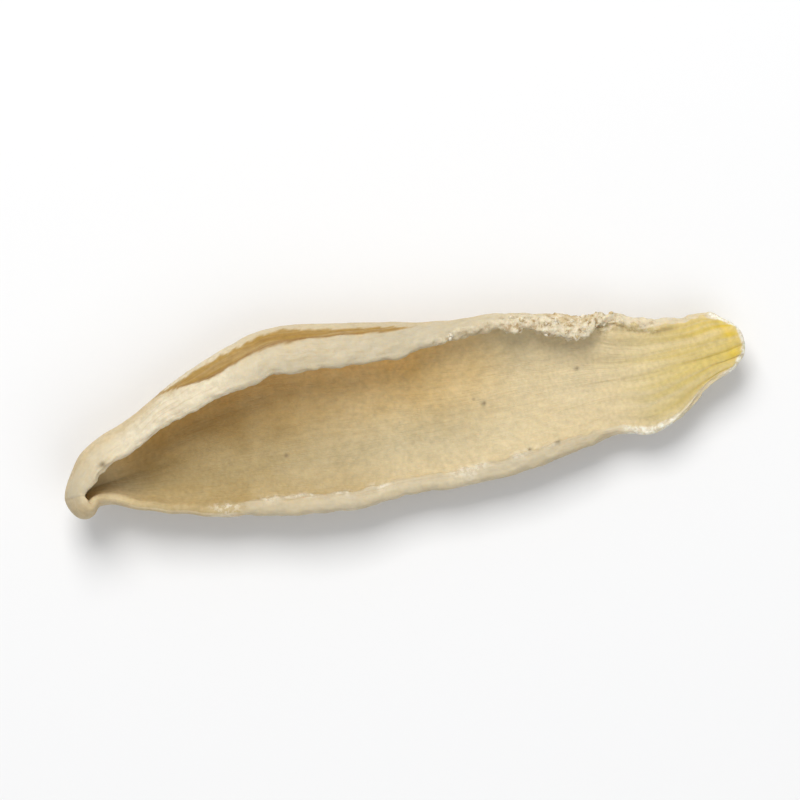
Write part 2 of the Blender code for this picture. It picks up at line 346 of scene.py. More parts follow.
@dataclass
class ScaleForm:
    """Sheet of the scale: its plan, its keel, its rolled margins and its two skins.

    All lengths are millimetres. X runs from the tip to the foot and Y to the far margin.
    """

    tip_x: float = -26.25
    foot_x: float = 25.9
    far_side: Points = (
        (-26.25, 1.7), (-25.2, 2.55), (-23.6, 3.25), (-21.0, 4.15), (-18.0, 5.75),
        (-14.2, 7.1), (-11.0, 8.15), (-8.4, 8.65), (-5.6, 8.1), (-1.5, 7.3),
        (3.0, 6.5), (7.5, 6.2), (11.4, 5.15), (13.4, 4.65), (15.7, 4.0), (17.6, 3.6),
        (19.6, 3.5), (22.2, 3.2), (24.4, 3.28), (25.9, 2.95),
    )
    near_side: Points = (
        (-26.25, -1.85), (-25.6, -1.45), (-25.0, -0.75), (-24.2, -0.5), (-22.8, -0.85),
        (-21.5, -1.6), (-20.2, -2.1),
        (-17.2, -3.0), (-12.4, -3.9), (-8.0, -4.5), (-4.5, -4.8), (0.5, -4.95),
        (5.3, -5.05), (8.6, -4.65), (12.4, -4.2), (15.1, -4.05), (16.6, -4.45),
        (18.0, -4.7), (19.6, -4.2), (21.4, -3.2), (23.4, -2.45), (25.9, -1.7),
    )
    far_wall: Points = (
        (-26.25, 90), (-10.0, 90), (4.0, 90), (9.0, 88), (12.0, 84), (15.0, 76),
        (16.6, 58), (18.0, 48), (21.0, 42), (25.9, 40),
    )
    near_wall: Points = (
        (-26.25, 86), (-22.0, 80), (-14.0, 77), (0.0, 75), (8.0, 72), (13.0, 66),
        (16.0, 52), (19.0, 42), (25.9, 38),
    )
    far_turn: Points = (
        (-26.25, 66), (-24.0, 78), (-21.0, 80), (-17.0, 90), (-13.0, 100), (-9.0, 113),
        (-5.0, 103), (-1.0, 92), (2.0, 74), (6.0, 52), (9.0, 52), (12.2, 74), (13.6, 86),
        (14.6, 84), (16.4, 46), (18.0, 12), (19.5, 0), (25.9, 0),
    )
    near_turn: Points = (
        (-26.25, 75), (-25.2, 55), (-24.2, 20), (-22.0, 5), (-14.0, 8), (-8.0, 22), (-3.0, 8),
        (3.0, 8), (8.0, 18), (12.0, 15), (15.0, 6), (17.0, 0), (25.9, 0),
    )
    keel_plan: Points = (
        (-26.25, 0.0), (-22.0, 0.9), (-16.0, 1.8), (-9.0, 2.0), (-2.0, 1.3),
        (5.0, 0.7), (12.0, 0.5), (19.0, 0.1), (25.9, 0.6),
    )
    keel_height: Points = (
        (-26.25, 3.2), (-25.4, 2.25), (-23.5, 1.35), (-20.0, 0.7), (-14.0, 0.17),
        (-8.0, -0.08), (-2.6, -0.12), (4.0, 0.06), (10.0, 0.52), (16.0, 1.22),
        (21.0, 1.95), (25.9, 2.75),
    )
    wall_height: Points = (
        (-26.25, 4.9), (-22.0, 4.5), (-15.0, 4.1), (-8.0, 3.9), (0.0, 3.7),
        (8.0, 3.55), (13.0, 3.4), (16.0, 3.2), (19.0, 3.15), (22.5, 3.25), (25.9, 3.5),
    )
    far_rise: Points = (
        (-26.25, 1.5), (-20.0, 1.8), (-10.0, 2.25), (-2.0, 2.0), (6.0, 1.7),
        (12.0, 1.25), (15.0, 0.95), (18.0, 0.8), (25.9, 0.55),
    )
    near_rise: Points = (
        (-26.25, 1.5), (-20.0, 1.4), (-10.0, 1.6), (0.0, 1.6), (8.0, 1.5),
        (15.0, 1.0), (18.0, 0.6), (25.9, 0.5),
    )
    middle_thickness: Points = (
        (-26.25, 1.2), (-22.0, 1.55), (-14.0, 2.1), (-4.0, 2.35), (6.0, 2.2),
        (14.0, 1.8), (21.0, 1.4), (25.9, 1.1),
    )
    far_edge: Points = (
        (-26.25, 0.75), (-15.0, 0.8), (0.0, 0.8), (8.0, 0.85), (12.5, 0.95), (16.0, 0.72),
        (20.0, 0.64), (25.9, 0.62),
    )
    near_edge: Points = (
        (-26.25, 0.75), (-20.0, 0.7), (-14.0, 1.0), (-8.0, 1.18), (0.0, 1.12), (8.0, 1.08),
        (13.0, 0.85), (17.0, 0.66), (25.9, 0.62),
    )
    rim_line: Points = (
        (-19.5, 5.2), (-18.1, 6.04), (-15.0, 6.35), (-12.4, 6.88), (-10.4, 7.57),
        (-9.1, 7.77), (-7.2, 7.72), (-2.9, 7.39), (-0.5, 7.05), (1.1, 6.95), (3.0, 7.0),
    )
    foot_edge: float = 0.62
    far_radius: float = 2.1
    near_radius: float = 1.5
    thinning_power: float = 1.15
    hood_depth: float = 1.2
    far_lean: float = 0.4
    near_lean: float = -0.4
    lean_length: float = 0.9
    hood_length: float = 4.2
    far_hood_radius: float = 1.5
    near_hood_radius: float = 0.95
    foot_bow: float = 2.1
    foot_roundness: float = 2.6
    sheet_reach: float = 11.0
    foot_length: float = 6.0
    hood_rows: int = 18
    body_rows: int = 262
    foot_rows: int = 12
    floor_columns: int = 67
    edge_columns: int = 8
    seed: int = 7

    def __post_init__(self) -> None:
        """Turn the tables of points into curves."""
        tables = ("far_side", "near_side", "far_wall", "near_wall", "far_turn", "near_turn",
                  "keel_plan", "keel_height", "wall_height", "far_rise", "near_rise",
                  "middle_thickness", "far_edge", "near_edge", "rim_line")
        self.curve = {name: smooth_curve(getattr(self, name)) for name in tables}

    def round_off(self, x: np.ndarray, side: Side) -> np.ndarray:
        """Share of its full width that a side has at x, which rounds the hood's end."""
        radius = self.far_hood_radius if side is Side.FAR else self.near_hood_radius
        return np.sqrt(1 - np.clip(1 - (x - self.tip_x) / radius, 0, 1) ** 2)

    def row_positions(self) -> np.ndarray:
        """Places of the rows, close together where the hood and the foot round off.

        Returns:
            The x of each row, rising.
        """
        quarter = np.linspace(0, math.pi / 2, self.hood_rows + 1)
        hood = self.tip_x + self.far_hood_radius * (1 - np.cos(quarter))
        last = np.linspace(0, math.pi / 2, self.foot_rows + 1)
        foot = self.foot_x - self.foot_edge * (1 - np.sin(last))
        body = np.linspace(hood[-1], foot[0], self.body_rows + 1)
        return np.concatenate([hood[:-1], body, foot[1:]])

    def half_section(self, x: float, side: Side) -> tuple[np.ndarray, np.ndarray]:
        """One half of the cross-section, from the keel out to the margin.

        Args:
            x: Where along the scale.
            side: Which margin it ends in.

        Returns:
            The y and the z of finely spaced points.
        """
        name = side.value
        keel_y = float(self.curve["keel_plan"](x))
        keel_z = float(self.curve["keel_height"](x) + self.curve["middle_thickness"](x) / 2)
        height = float(self.curve["wall_height"](x)) - keel_z
        reach = (float(self.curve[name + "_side"](x)) - keel_y) * float(self.round_off(x, side))
        outward = math.copysign(1.0, reach)
        steep = math.radians(min(90.0, float(self.curve[name + "_wall"](x))))
        low = np.linspace(0, steep, 90)
        y = keel_y + reach * np.sin(low) / math.sin(steep)
        z = keel_z + height * (1 - np.cos(low)) / (1 - math.cos(steep))
        slope = math.atan2(z[-1] - z[-2], abs(y[-1] - y[-2]))
        radius = min(self.far_radius if side is Side.FAR else self.near_radius, abs(reach))
        rise = float(self.curve[name + "_rise"](x))
        bend = math.radians(float(self.curve[name + "_turn"](x)))
        bend += self.roll_detail(x, side) / max(radius, 0.5)
        turn = slope + np.linspace(0, max(0.01, bend), 60)[1:]
        y = np.concatenate([y, y[-1] + outward * radius * (np.sin(turn) - math.sin(slope))])
        z = np.concatenate([z, z[-1] + rise * (math.cos(slope) - np.cos(turn))])
        return y, z

    def roll_detail(self, x: float, side: Side) -> float:
        """Small flaps, nicks and waves of a margin.

        Args:
            x: Where along the scale.
            side: Which margin.

        Returns:
            Extra width of the margin's roll, in millimetres.
        """
        place = np.array(x)
        zero = np.array(0.0)
        quiet = float(fade(place, self.tip_x + 0.6, self.tip_x + 4) * (1 - fade(place, 17.0, 22.0)))
        fine = 0.07 * float(waves(place, zero, 2.6, self.seed + 11))
        fine += 0.035 * float(waves(place, zero, 0.9, self.seed + 13))
        if side is Side.NEAR:
            fine += 0.16 * float(bump(place, -8.0, 1.6)) - 0.12 * float(bump(place, 13.6, 0.5))
            return fine * quiet
        fine += 0.2 * float(bump(place, -7.6, 0.9)) - 0.16 * float(bump(place, -9.4, 0.5))
        fine += 0.16 * float(bump(place, 0.2, 0.8)) - 0.1 * float(bump(place, 1.9, 0.6))
        tear = float(span(place, (9.0, 16.5), 1.5))
        fine += 0.16 * float(waves(place, zero, 1.1, self.seed + 12)) * tear
        return fine * quiet

    def sample_half(self, x: float, side: Side) -> tuple[np.ndarray, ...]:
        """Evenly spread columns of one half-section.

        Args:
            x: Where along the scale.
            side: Which margin it ends in.

        Returns:
            y, z, share of the way out, and distance to the margin, for each column.
        """
        y, z = self.half_section(x, side)
        run = np.concatenate([[0], np.cumsum(np.hypot(np.diff(y), np.diff(z)))])
        edge = min(float(self.curve[side.value + "_edge"](x)) / 2 / run[-1], 0.25)
        floor = np.linspace(0, 1 - edge, self.floor_columns + 1)
        turn = np.linspace(0, math.pi / 2, self.edge_columns + 1)[1:]
        share = np.concatenate([floor, 1 - edge + edge * np.sin(turn)])
        at = share * run[-1]
        return np.interp(at, run, y), np.interp(at, run, z), share, run[-1] - at

    def middle_sheet(self) -> tuple[np.ndarray, np.ndarray, np.ndarray]:
        """The sheet halfway through the wall, from the near margin to the far one.

        Returns:
            Points as rows by columns by 3, each point's signed share of the way from the keel
            to its margin, and its distance to that margin.
        """
        rows = self.row_positions()
        columns = 2 * (self.floor_columns + self.edge_columns) + 1
        points = np.zeros((len(rows), columns, 3))
        share = np.zeros((len(rows), columns))
        margin = np.zeros((len(rows), columns))
        for i, x in enumerate(rows):
            near = self.sample_half(x, Side.NEAR)
            far = self.sample_half(x, Side.FAR)
            y, z, s, d = [np.concatenate([a[::-1], b[1:]]) for a, b in zip(near, far)]
            s[:len(near[0]) - 1] *= -1
            lean = np.where(s < 0, self.near_lean, self.far_lean)
            lean = lean * fade(x, self.tip_x, self.tip_x + self.lean_length)
            hood = self.hood_depth * s**2 + lean * np.abs(s) ** 1.5
            hood *= 1 - fade(x, self.tip_x, self.tip_x + self.hood_length)
            foot = self.foot_bow * fade(x, self.foot_x - self.foot_length, self.foot_x)
            points[i, :, 0] = x + hood - foot * np.abs(s) ** self.foot_roundness
            points[i, :, 1] = y
            points[i, :, 2] = z
            share[i] = s
            margin[i] = d
        points[0] = (points[0] + points[0, ::-1]) / 2
        return points, share, margin

    @staticmethod
    def normals(points: np.ndarray) -> np.ndarray:
        """Unit normals of a grid of points.

        Args:
            points: Rows by columns by 3.

        Returns:
            One normal for each point, pointing into the hollow.
        """
        along = np.gradient(points, axis=0)
        across = np.gradient(points, axis=1)
        result = np.cross(along, across)
        result[0] = result[0] + result[0, ::-1]
        return result / np.maximum(np.linalg.norm(result, axis=2, keepdims=True), 1e-9)

    def shape(self) -> dict[str, np.ndarray]:
        """Work out both skins of the wall and the measures that its look depends on.

        Returns:
            Grids by name: the points "hollow" and "back", and the numbers "x", "share",
            "margin" and "arc", which is the way across from the near margin.
        """
        points, share, margin = self.middle_sheet()
        x = points[:, :, 0]
        rows = self.row_positions()[:, None]
        awake = fade(x, self.tip_x + 0.5, self.tip_x + 4.0)
        dents = 0.1 * waves(x, share * self.sheet_reach, 9.0, self.seed)
        dents += 0.045 * waves(x, share * self.sheet_reach, 4.2, self.seed + 3, 9)
        ripple = 0.09 * (1 - fade(margin, 0.5, 3.5)) * waves(x, share * 3.3, 3.2, self.seed + 1)
        points = points + self.normals(points) * ((dents + ripple) * awake)[:, :, None]
        normals = self.normals(points)
        middle = self.curve["middle_thickness"](rows)
        thinning = np.maximum(1 - share**2, 0) ** self.thinning_power
        margins = np.where(share < 0, self.curve["near_edge"](rows), self.curve["far_edge"](rows))
        thickness = margins + (middle - margins) * thinning
        edge = np.minimum(margin, np.broadcast_to(self.foot_x - rows, share.shape))
        rounded = np.sqrt(1 - np.clip(1 - edge / (thickness / 2), 0, 1) ** 2)
        half = rounded * thickness / 2
        wide = self.curve["far_side"](rows) - self.curve["keel_plan"](rows)
        closing = np.minimum(1, 1.1 * wide * self.round_off(rows, Side.FAR) / middle)
        ridges = 0.035 * np.cos(share * math.pi * 6) * fade(margin, 0.0, 1.2)
        ridges *= (0.4 + 0.6 * fade(x, 8.0, 18.0)) * (1 - 0.7 * fade(x, 22.5, self.foot_x)) * awake
        tear = 0.15 * waves(x, margin, 2.4, self.seed + 2, 9) + 0.07 * waves(x, margin, 1.1, self.seed + 4, 9)
        tear *= self.torn(x, share, margin) * fade(margin, 0.0, 0.3)
        groove = self.shoulder(points, share)
        hollow = points + normals * (half * closing + (ridges + tear) * rounded)[:, :, None]
        back = points - normals * (half + (0.6 * ridges - groove) * rounded)[:, :, None]
        steps = np.linalg.norm(np.diff(points, axis=1), axis=2)
        arc = np.concatenate([np.zeros((len(rows), 1)), np.cumsum(steps, axis=1)], axis=1)
        return {"hollow": hollow, "back": back, "x": x, "share": share, "margin": margin, "arc": arc}

    def torn(self, x: np.ndarray, share: np.ndarray, margin: np.ndarray) -> np.ndarray:
        """Where the far margin is torn and crumbly.

        Args:
            x: Grid of places along the scale.
            share: Signed share of the way out.
            margin: Distance to the margin.

        Returns:
            0 where it is whole, to 1 where it is torn.
        """
        place = span(x, (9.5, 15.5), 2.6)
        reach = 1.3 + 1.0 * span(x, (12.5, 15.5), 1.5) + 0.35 * waves(x, margin, 1.8, self.seed + 6)
        torn = place * (1 - fade(margin, 0.45 * reach, reach))
        frayed = 0.5 * span(x, (3.5, 9.5), 1.5) * (1 - fade(margin, 0.2, 0.6))
        return np.maximum(torn, frayed) * (share > 0)

    def shoulder(self, points: np.ndarray, share: np.ndarray) -> np.ndarray:
        """Groove of the shrunken strip outside the cream rim, on the far margin's back.

        Args:
            points: Grid of the sheet's points.
            share: Signed share of the way out.

        Returns:
            Depth of the groove.
        """
        x = points[:, :, 0]
        outside = self.curve["far_side"](x) + 0.42
        rim = self.curve["rim_line"](x)
        width = np.maximum(outside - rim, 0.08)
        beyond = (points[:, :, 1] + 0.3 * (share > 0) - rim) / width
        open_strip = span(x, (-17.6, 0.6), 1.6) * (share > 0) * fade(width, 0.1, 0.6)
        high = fade(points[:, :, 2], 3.6, 4.6)
        depth = 0.34 * np.clip(width / 1.2, 0, 1) * np.exp(-(((beyond - 0.42) / 0.3) ** 2))
        return depth * open_strip * high

    def shift(self, shape: dict[str, np.ndarray], low: Vector, high: Vector) -> np.ndarray:
        """Move that puts the shape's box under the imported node's box.

        Args:
            shape: What shape() gave.
            low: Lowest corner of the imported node, in metres.
            high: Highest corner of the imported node, in metres.

        Returns:
            What is taken off every point, in millimetres.
        """
        both = np.concatenate([shape["hollow"].reshape(-1, 3), shape["back"].reshape(-1, 3)])
        middle = (both.min(axis=0) + both.max(axis=0)) / 2
        wanted = np.array((low + high) / 2) / MM
        lift = both[:, 2].max() - high.z / MM
        return np.array([middle[0] - wanted[0], middle[1] - wanted[1], lift])


@dataclass(frozen=True)
class TissueFinish:
    """Dried tissue of one side of the scale: its colours, its streaks and its gloss."""

    name: str
    cream: Colour
    deep: Colour
    # Tint of painted shade, laid where the shade mask lies.
    painted_shade_tint: Colour
    rim: Colour
    strip: Colour
    yellow: Colour
    amber: Colour
    streak: float
    mottle: float
    grain_height: float
    roughness: tuple[float, float]
    subsurface: float

    def material(self, groups: "EffectGroups") -> bpy.types.Material:
        """Build the finish.

        Args:
            groups: The effects that every finish shares.

        Returns:
            The finished material.
        """
        material = bpy.data.materials.new(self.name)
        material.use_nodes = True
        tree = material.node_tree
        tree.nodes.clear()
        board = NodeBoard(tree)
        fibre = groups.use(board, groups.fibre, {"Fineness": 5.5, "Stretch": 16.0})
        coarse = groups.use(board, groups.fibre, {"Fineness": 1.5, "Stretch": 9.0})
        ridges = groups.use(board, groups.fibre, {"Fineness": 0.75, "Stretch": 14.0})
        cloud = groups.use(board, groups.cloud, {"Size": 3.4, "Roughness": 0.6})
        grain = groups.use(board, groups.grain, {"Size": 0.3})
        streaks = board.math("ADD", board.product(fibre.outputs["Mask"], 0.55),
                             board.product(coarse.outputs["Mask"], 0.45))
        colour = groups.use(board, groups.tissue, {
            "Streaks": streaks, "Clouds": cloud.outputs["Mask"], "Grain": grain.outputs["Mask"],
            "Cream": (*self.cream, 1), "Deep cream": (*self.deep, 1), "Painted shade tint": (*self.painted_shade_tint, 1),
            "Rim": (*self.rim, 1), "Strip": (*self.strip, 1), "Yellow": (*self.yellow, 1),
            "Amber": (*self.amber, 1), "Streak strength": self.streak, "Cloud strength": self.mottle,
            "Fine": cloud.outputs["Fine"], "Ridges": ridges.outputs["Mask"],
        })
        specks = groups.use(board, groups.specks, {"Spacing": 5.2, "Share": 0.22})
        dotted = board.math("MAXIMUM", board.product(specks.outputs["Mask"], 0.5),
                            board.product(board.kept("speck"), 0.75))
        marked = board.mix(dotted, colour.outputs["Color"], SPECK_BROWN)
        rough = board.node("ShaderNodeMapRange", {"Value": streaks, "To Min": self.roughness[0],
                                                  "To Max": self.roughness[1]})
        off_foot = board.math("MULTIPLY_ADD", board.kept("yellow"), -0.55, 0.55)
        height = board.math("ADD", board.product(grain.outputs["Mask"], 0.6),
                            board.product(fibre.outputs["Mask"], off_foot))
        grit = board.product(board.kept("torn"), cloud.outputs["Fine"], 0.9)
        height = board.math("ADD", height, grit)
        normal = board.node("ShaderNodeBump", {"Strength": 1.0, "Distance": self.grain_height * MM,
                                               "Height": height})
        surface = board.node("ShaderNodeBsdfPrincipled", {
            "Base Color": marked, "Roughness": rough.outputs["Result"], "Normal": normal.outputs["Normal"],
            "IOR": 1.46, "Specular IOR Level": 0.32, "Subsurface Weight": self.subsurface,
            "Subsurface Radius": (1.0, 0.62, 0.3), "Subsurface Scale": 1.1 * MM,
        })
        board.node("ShaderNodeOutputMaterial", {"Surface": surface.outputs["BSDF"]})
        return material


@dataclass(frozen=True)
class CrumbFinish:
    """Loose, chalky tissue where the rim is torn."""

    name: str = "torn_rim"
    light: Colour = (0.84, 0.75, 0.58)
    dark: Colour = (0.6, 0.45, 0.24)

    def material(self, groups: "EffectGroups") -> bpy.types.Material:
        """Build the finish.

        Args:
            groups: The effects that every finish shares.

        Returns:
            The finished material.
        """
        material = bpy.data.materials.new(self.name)
        material.use_nodes = True
        tree = material.node_tree
        tree.nodes.clear()
        board = NodeBoard(tree)
        cloud = groups.use(board, groups.cloud, {"Size": 0.7, "Roughness": 0.7})
        grain = groups.use(board, groups.grain, {"Size": 0.12})
        colour = board.mix(board.ramp(cloud.outputs["Mask"], 0.3, 0.75), (*self.dark, 1), (*self.light, 1))
        normal = board.node("ShaderNodeBump", {"Strength": 1.0, "Distance": 0.03 * MM,
                                               "Height": grain.outputs["Mask"]})
        surface = board.node("ShaderNodeBsdfPrincipled", {
            "Base Color": colour, "Roughness": 0.75, "Normal": normal.outputs["Normal"],
            "Subsurface Weight": 0.2, "Subsurface Radius": (1.0, 0.65, 0.35), "Subsurface Scale": 0.8 * MM,
        })
        board.node("ShaderNodeOutputMaterial", {"Surface": surface.outputs["BSDF"]})
        return material


class EffectGroups:
    """Shader node groups that the finishes share, each built once."""

    def __init__(self) -> None:
        """Build every group."""
        self.fibre = self._fibre()
        self.cloud = self._cloud()
        self.grain = self._grain()
        self.specks = self._specks()
        self.tissue = self._tissue()

    @staticmethod
    def use(board: NodeBoard, group: bpy.types.NodeTree, values: dict) -> bpy.types.Node:
        """Place a group in a material with its own values.

        Args:
            board: Board of the material's tree.
            group: The group to place.
            values: Values or sockets by the group input's name.

        Returns:
            The group's node.
        """
        node = board.node("ShaderNodeGroup", node_tree=group)
        for key, value in values.items():
            board.feed(node.inputs[key], value)
        return node

    @staticmethod
    def _board(name: str) -> NodeBoard:
        """Start an empty shader group."""
        return NodeBoard(bpy.data.node_groups.new(name, "ShaderNodeTree"))

    @staticmethod
    def _millimetres(board: NodeBoard) -> bpy.types.NodeSocket:
        """Object coordinates in millimetres."""
        return board.scaled(board.node("ShaderNodeTexCoord").outputs["Object"], 1 / MM)

    def _fibre(self) -> bpy.types.NodeTree:
        """Streaks that run lengthwise, following the scale's own grid."""
        board = self._board("lengthwise_fibre")
        given, result = board.sockets(
            {"Fineness": ("NodeSocketFloat", 4.0), "Stretch": ("NodeSocketFloat", 12.0)},
            {"Mask": "NodeSocketFloat"})
        along = board.math("DIVIDE", board.kept("along"), given.outputs["Stretch"])
        place = board.node("ShaderNodeCombineXYZ", {"X": along, "Y": board.kept("across")})
        noise = board.node("ShaderNodeTexNoise", {
            "Vector": place.outputs[0], "Scale": given.outputs["Fineness"], "Detail": 4.0,
            "Roughness": 0.55, "Distortion": 0.15})
        board.feed(result.inputs["Mask"], board.ramp(noise.outputs["Fac"], 0.3, 0.7))
        return board.tree

    def _cloud(self) -> bpy.types.NodeTree:
        """Soft uneven patches."""
        board = self._board("soft_patches")
        given, result = board.sockets(
            {"Size": ("NodeSocketFloat", 3.0), "Roughness": ("NodeSocketFloat", 0.5)},
            {"Mask": "NodeSocketFloat", "Fine": "NodeSocketFloat"})
        place = self._millimetres(board)
        scale = board.math("DIVIDE", 1.0, given.outputs["Size"])
        noise = board.noise(place, scale, 5.0, given.outputs["Roughness"])
        board.feed(result.inputs["Mask"], board.ramp(noise, 0.3, 0.7))
        board.feed(result.inputs["Fine"], board.noise(place, 2.4, 4.0, 0.65))
        return board.tree

    def _grain(self) -> bpy.types.NodeTree:
        """Fine granular skin, like dried starch."""
        board = self._board("fine_grain")
        given, result = board.sockets({"Size": ("NodeSocketFloat", 0.25)}, {"Mask": "NodeSocketFloat"})
        place = self._millimetres(board)
        scale = board.math("DIVIDE", 1.0, given.outputs["Size"])
        cells = board.node("ShaderNodeTexVoronoi", {"Vector": place, "Scale": scale}, feature="SMOOTH_F1")
        noise = board.noise(place, board.product(scale, 0.7), 3.0)
        total = board.math("ADD", board.product(cells.outputs["Distance"], -0.6),
                           board.product(noise, 1.1))
        board.feed(result.inputs["Mask"], board.ramp(total, -0.15, 0.65))
        return board.tree

    def _specks(self) -> bpy.types.NodeTree:
        """A few tiny dark specks."""
        board = self._board("dark_specks")
        given, result = board.sockets(
            {"Spacing": ("NodeSocketFloat", 4.0), "Share": ("NodeSocketFloat", 0.3)},
            {"Mask": "NodeSocketFloat"})
        place = self._millimetres(board)
        cells = board.node("ShaderNodeTexVoronoi", {
            "Vector": place, "Scale": board.math("DIVIDE", 1.0, given.outputs["Spacing"])})
        size = board.math("DIVIDE", 0.16, given.outputs["Spacing"])
        away = board.math("DIVIDE", cells.outputs["Distance"], size)
        near = board.math("SUBTRACT", 1.0, board.ramp(away, 0.55, 1.25))
        chance = board.node("ShaderNodeSeparateColor", {"Color": cells.outputs["Color"]}).outputs[0]
        picked = board.math("LESS_THAN", chance, given.outputs["Share"])
        board.feed(result.inputs["Mask"], board.product(near, picked, 0.75))
        return board.tree

    def _tissue(self) -> bpy.types.NodeTree:
        """Colour of the tissue, laid over the scale by the measures kept on its mesh, with painted shade and
        painted highlights among its layers.
        """
        board = self._board("tissue_colour")
        colours = ("Cream", "Deep cream", "Painted shade tint", "Rim", "Strip", "Yellow", "Amber")
        inputs = {name: ("NodeSocketFloat", 0.5) for name in (
            "Streaks", "Ridges", "Clouds", "Grain", "Fine", "Streak strength", "Cloud strength")}
        inputs.update({name: ("NodeSocketColor", (0.8, 0.7, 0.5, 1)) for name in colours})
        given, result = board.sockets(inputs, {"Color": "NodeSocketColor"})
        get = given.outputs
        patchy = board.product(get["Clouds"], get["Cloud strength"])
        streaky = board.product(get["Streaks"], get["Streak strength"])
        amount = board.math("ADD", patchy, streaky, clamp=True)
        colour = board.mix(amount, get["Cream"], get["Deep cream"])
        # Painted shade: the tint darkens and warms the tissue where the shade mask lies.
        tinted = board.mix(1.0, colour, get["Painted shade tint"], "MULTIPLY")
        uneven = board.math("ADD", 0.8, board.product(get["Clouds"], 0.28))
        colour = board.mix(board.masked(board.kept("shade"), uneven), colour, tinted)
        # Painted shade towards the hood's tip and over the hollow's middle.
        for mask, tint in (("tip_shade", TIP_SHADE_TINT), ("hollow_shade", HOLLOW_SHADE_TINT)):
            dim = board.mix(1.0, colour, tint, "MULTIPLY")
            colour = board.mix(board.masked(board.kept(mask), uneven), colour, dim)
        ridged = board.math("MULTIPLY_ADD", get["Ridges"], 0.8, 0.45)
        grown = board.math("MULTIPLY_ADD", get["Streaks"], 0.4, 0.7)
        # Yellow and amber are the foot's own colour; the strip's brown is partly its own tan and partly
        # painted shade in its groove.
        for mask, amount, name in (("yellow", ridged, "Yellow"), ("amber", ridged, "Amber"),
                                   ("strip", grown, "Strip")):
            colour = board.mix(board.masked(board.kept(mask), amount), colour, get[name])
        broken = board.math("ADD", get["Fine"], board.product(board.kept("rim"), 0.55))
        rimmed = board.masked(board.kept("rim"), board.ramp(broken, 0.5, 0.85))
        colour = board.mix(rimmed, colour, self._rim_colour(board, get, board.kept("dull")))
        brown = board.math("MULTIPLY_ADD", get["Streaks"], 0.4, 0.45)
        patches = board.math("MULTIPLY_ADD", board.ramp(get["Fine"], 0.44, 0.56), 0.7, 0.2)
        # Painted highlight, painted shade in the rim's wrinkles, painted contact shadow and a brown line by
        # the crease, then the torn stretch's own brown pits and pale lumps.
        marks = (
            (board.product(board.kept("painted_highlight"), patches), PAINTED_HIGHLIGHT),
            (board.product(board.kept("wrinkled"), board.ramp(get["Streaks"], 0.45, 0.15), 0.35),
             WRINKLE_SHADE),
            (board.product(board.kept("crease_shadow_and_line"), brown), CREASE_SHADOW_BROWN),
            (board.product(board.kept("torn"), board.ramp(get["Fine"], 0.47, 0.38), 0.8), TORN_PIT),
            (board.product(board.kept("torn"), board.ramp(get["Fine"], 0.5, 0.62), 0.7), TORN_LUMP),
        )
        for amount, tint in marks:
            colour = board.mix(amount, colour, tint)
        coarse = board.math("ADD", get["Fine"], board.product(get["Grain"], 0.35))
        coarse = board.math("SUBTRACT", coarse, 0.68)
        contrast = board.math("MULTIPLY_ADD", board.kept("rim"), -0.2, 0.4)
        bright = board.math("MULTIPLY_ADD", coarse, contrast, 1.0)
        level = board.node("ShaderNodeCombineColor", {"Red": bright, "Green": bright, "Blue": bright})
        speckled = board.mix(1.0, colour, level.outputs[0], "MULTIPLY")
        board.feed(result.inputs["Color"], speckled)
        return board.tree

    @staticmethod
    def _rim_colour(board: NodeBoard, get: bpy.types.NodeOutputs, dull: object) -> bpy.types.NodeSocket:
        """Cream of the rim, worn along its streaks.

        Args:
            board: Board of the tissue's tree.
            get: The tree's own inputs.
            dull: Mask of the duller stretches.

        Returns:
            The colour's socket.
        """
        bare = board.product(board.math("SUBTRACT", 1.0, get["Clouds"]), 0.35)
        worn = board.math("MULTIPLY_ADD", get["Streaks"], 0.3, bare)
        worn = board.math("MULTIPLY_ADD", board.ramp(get["Fine"], 0.42, 0.62), 0.4, worn)
        pale = board.mix(worn, get["Rim"], WORN_RIM)
        return board.mix(dull, pale, board.mix(1.0, pale, DULL_TINT, "MULTIPLY"))


@dataclass(frozen=True)
class Ground:
    """Grids of one skin that its masks are worked out from, in millimetres.

    The grids far, share and foot_edge are shares from 0 to 1, with share signed by side.
    """

    skin: Skin
    x: np.ndarray
    y: np.ndarray
    z: np.ndarray
    share: np.ndarray
    margin: np.ndarray
    far: np.ndarray
    ragged: np.ndarray
    width: np.ndarray
    to_end: np.ndarray
    foot_edge: np.ndarray


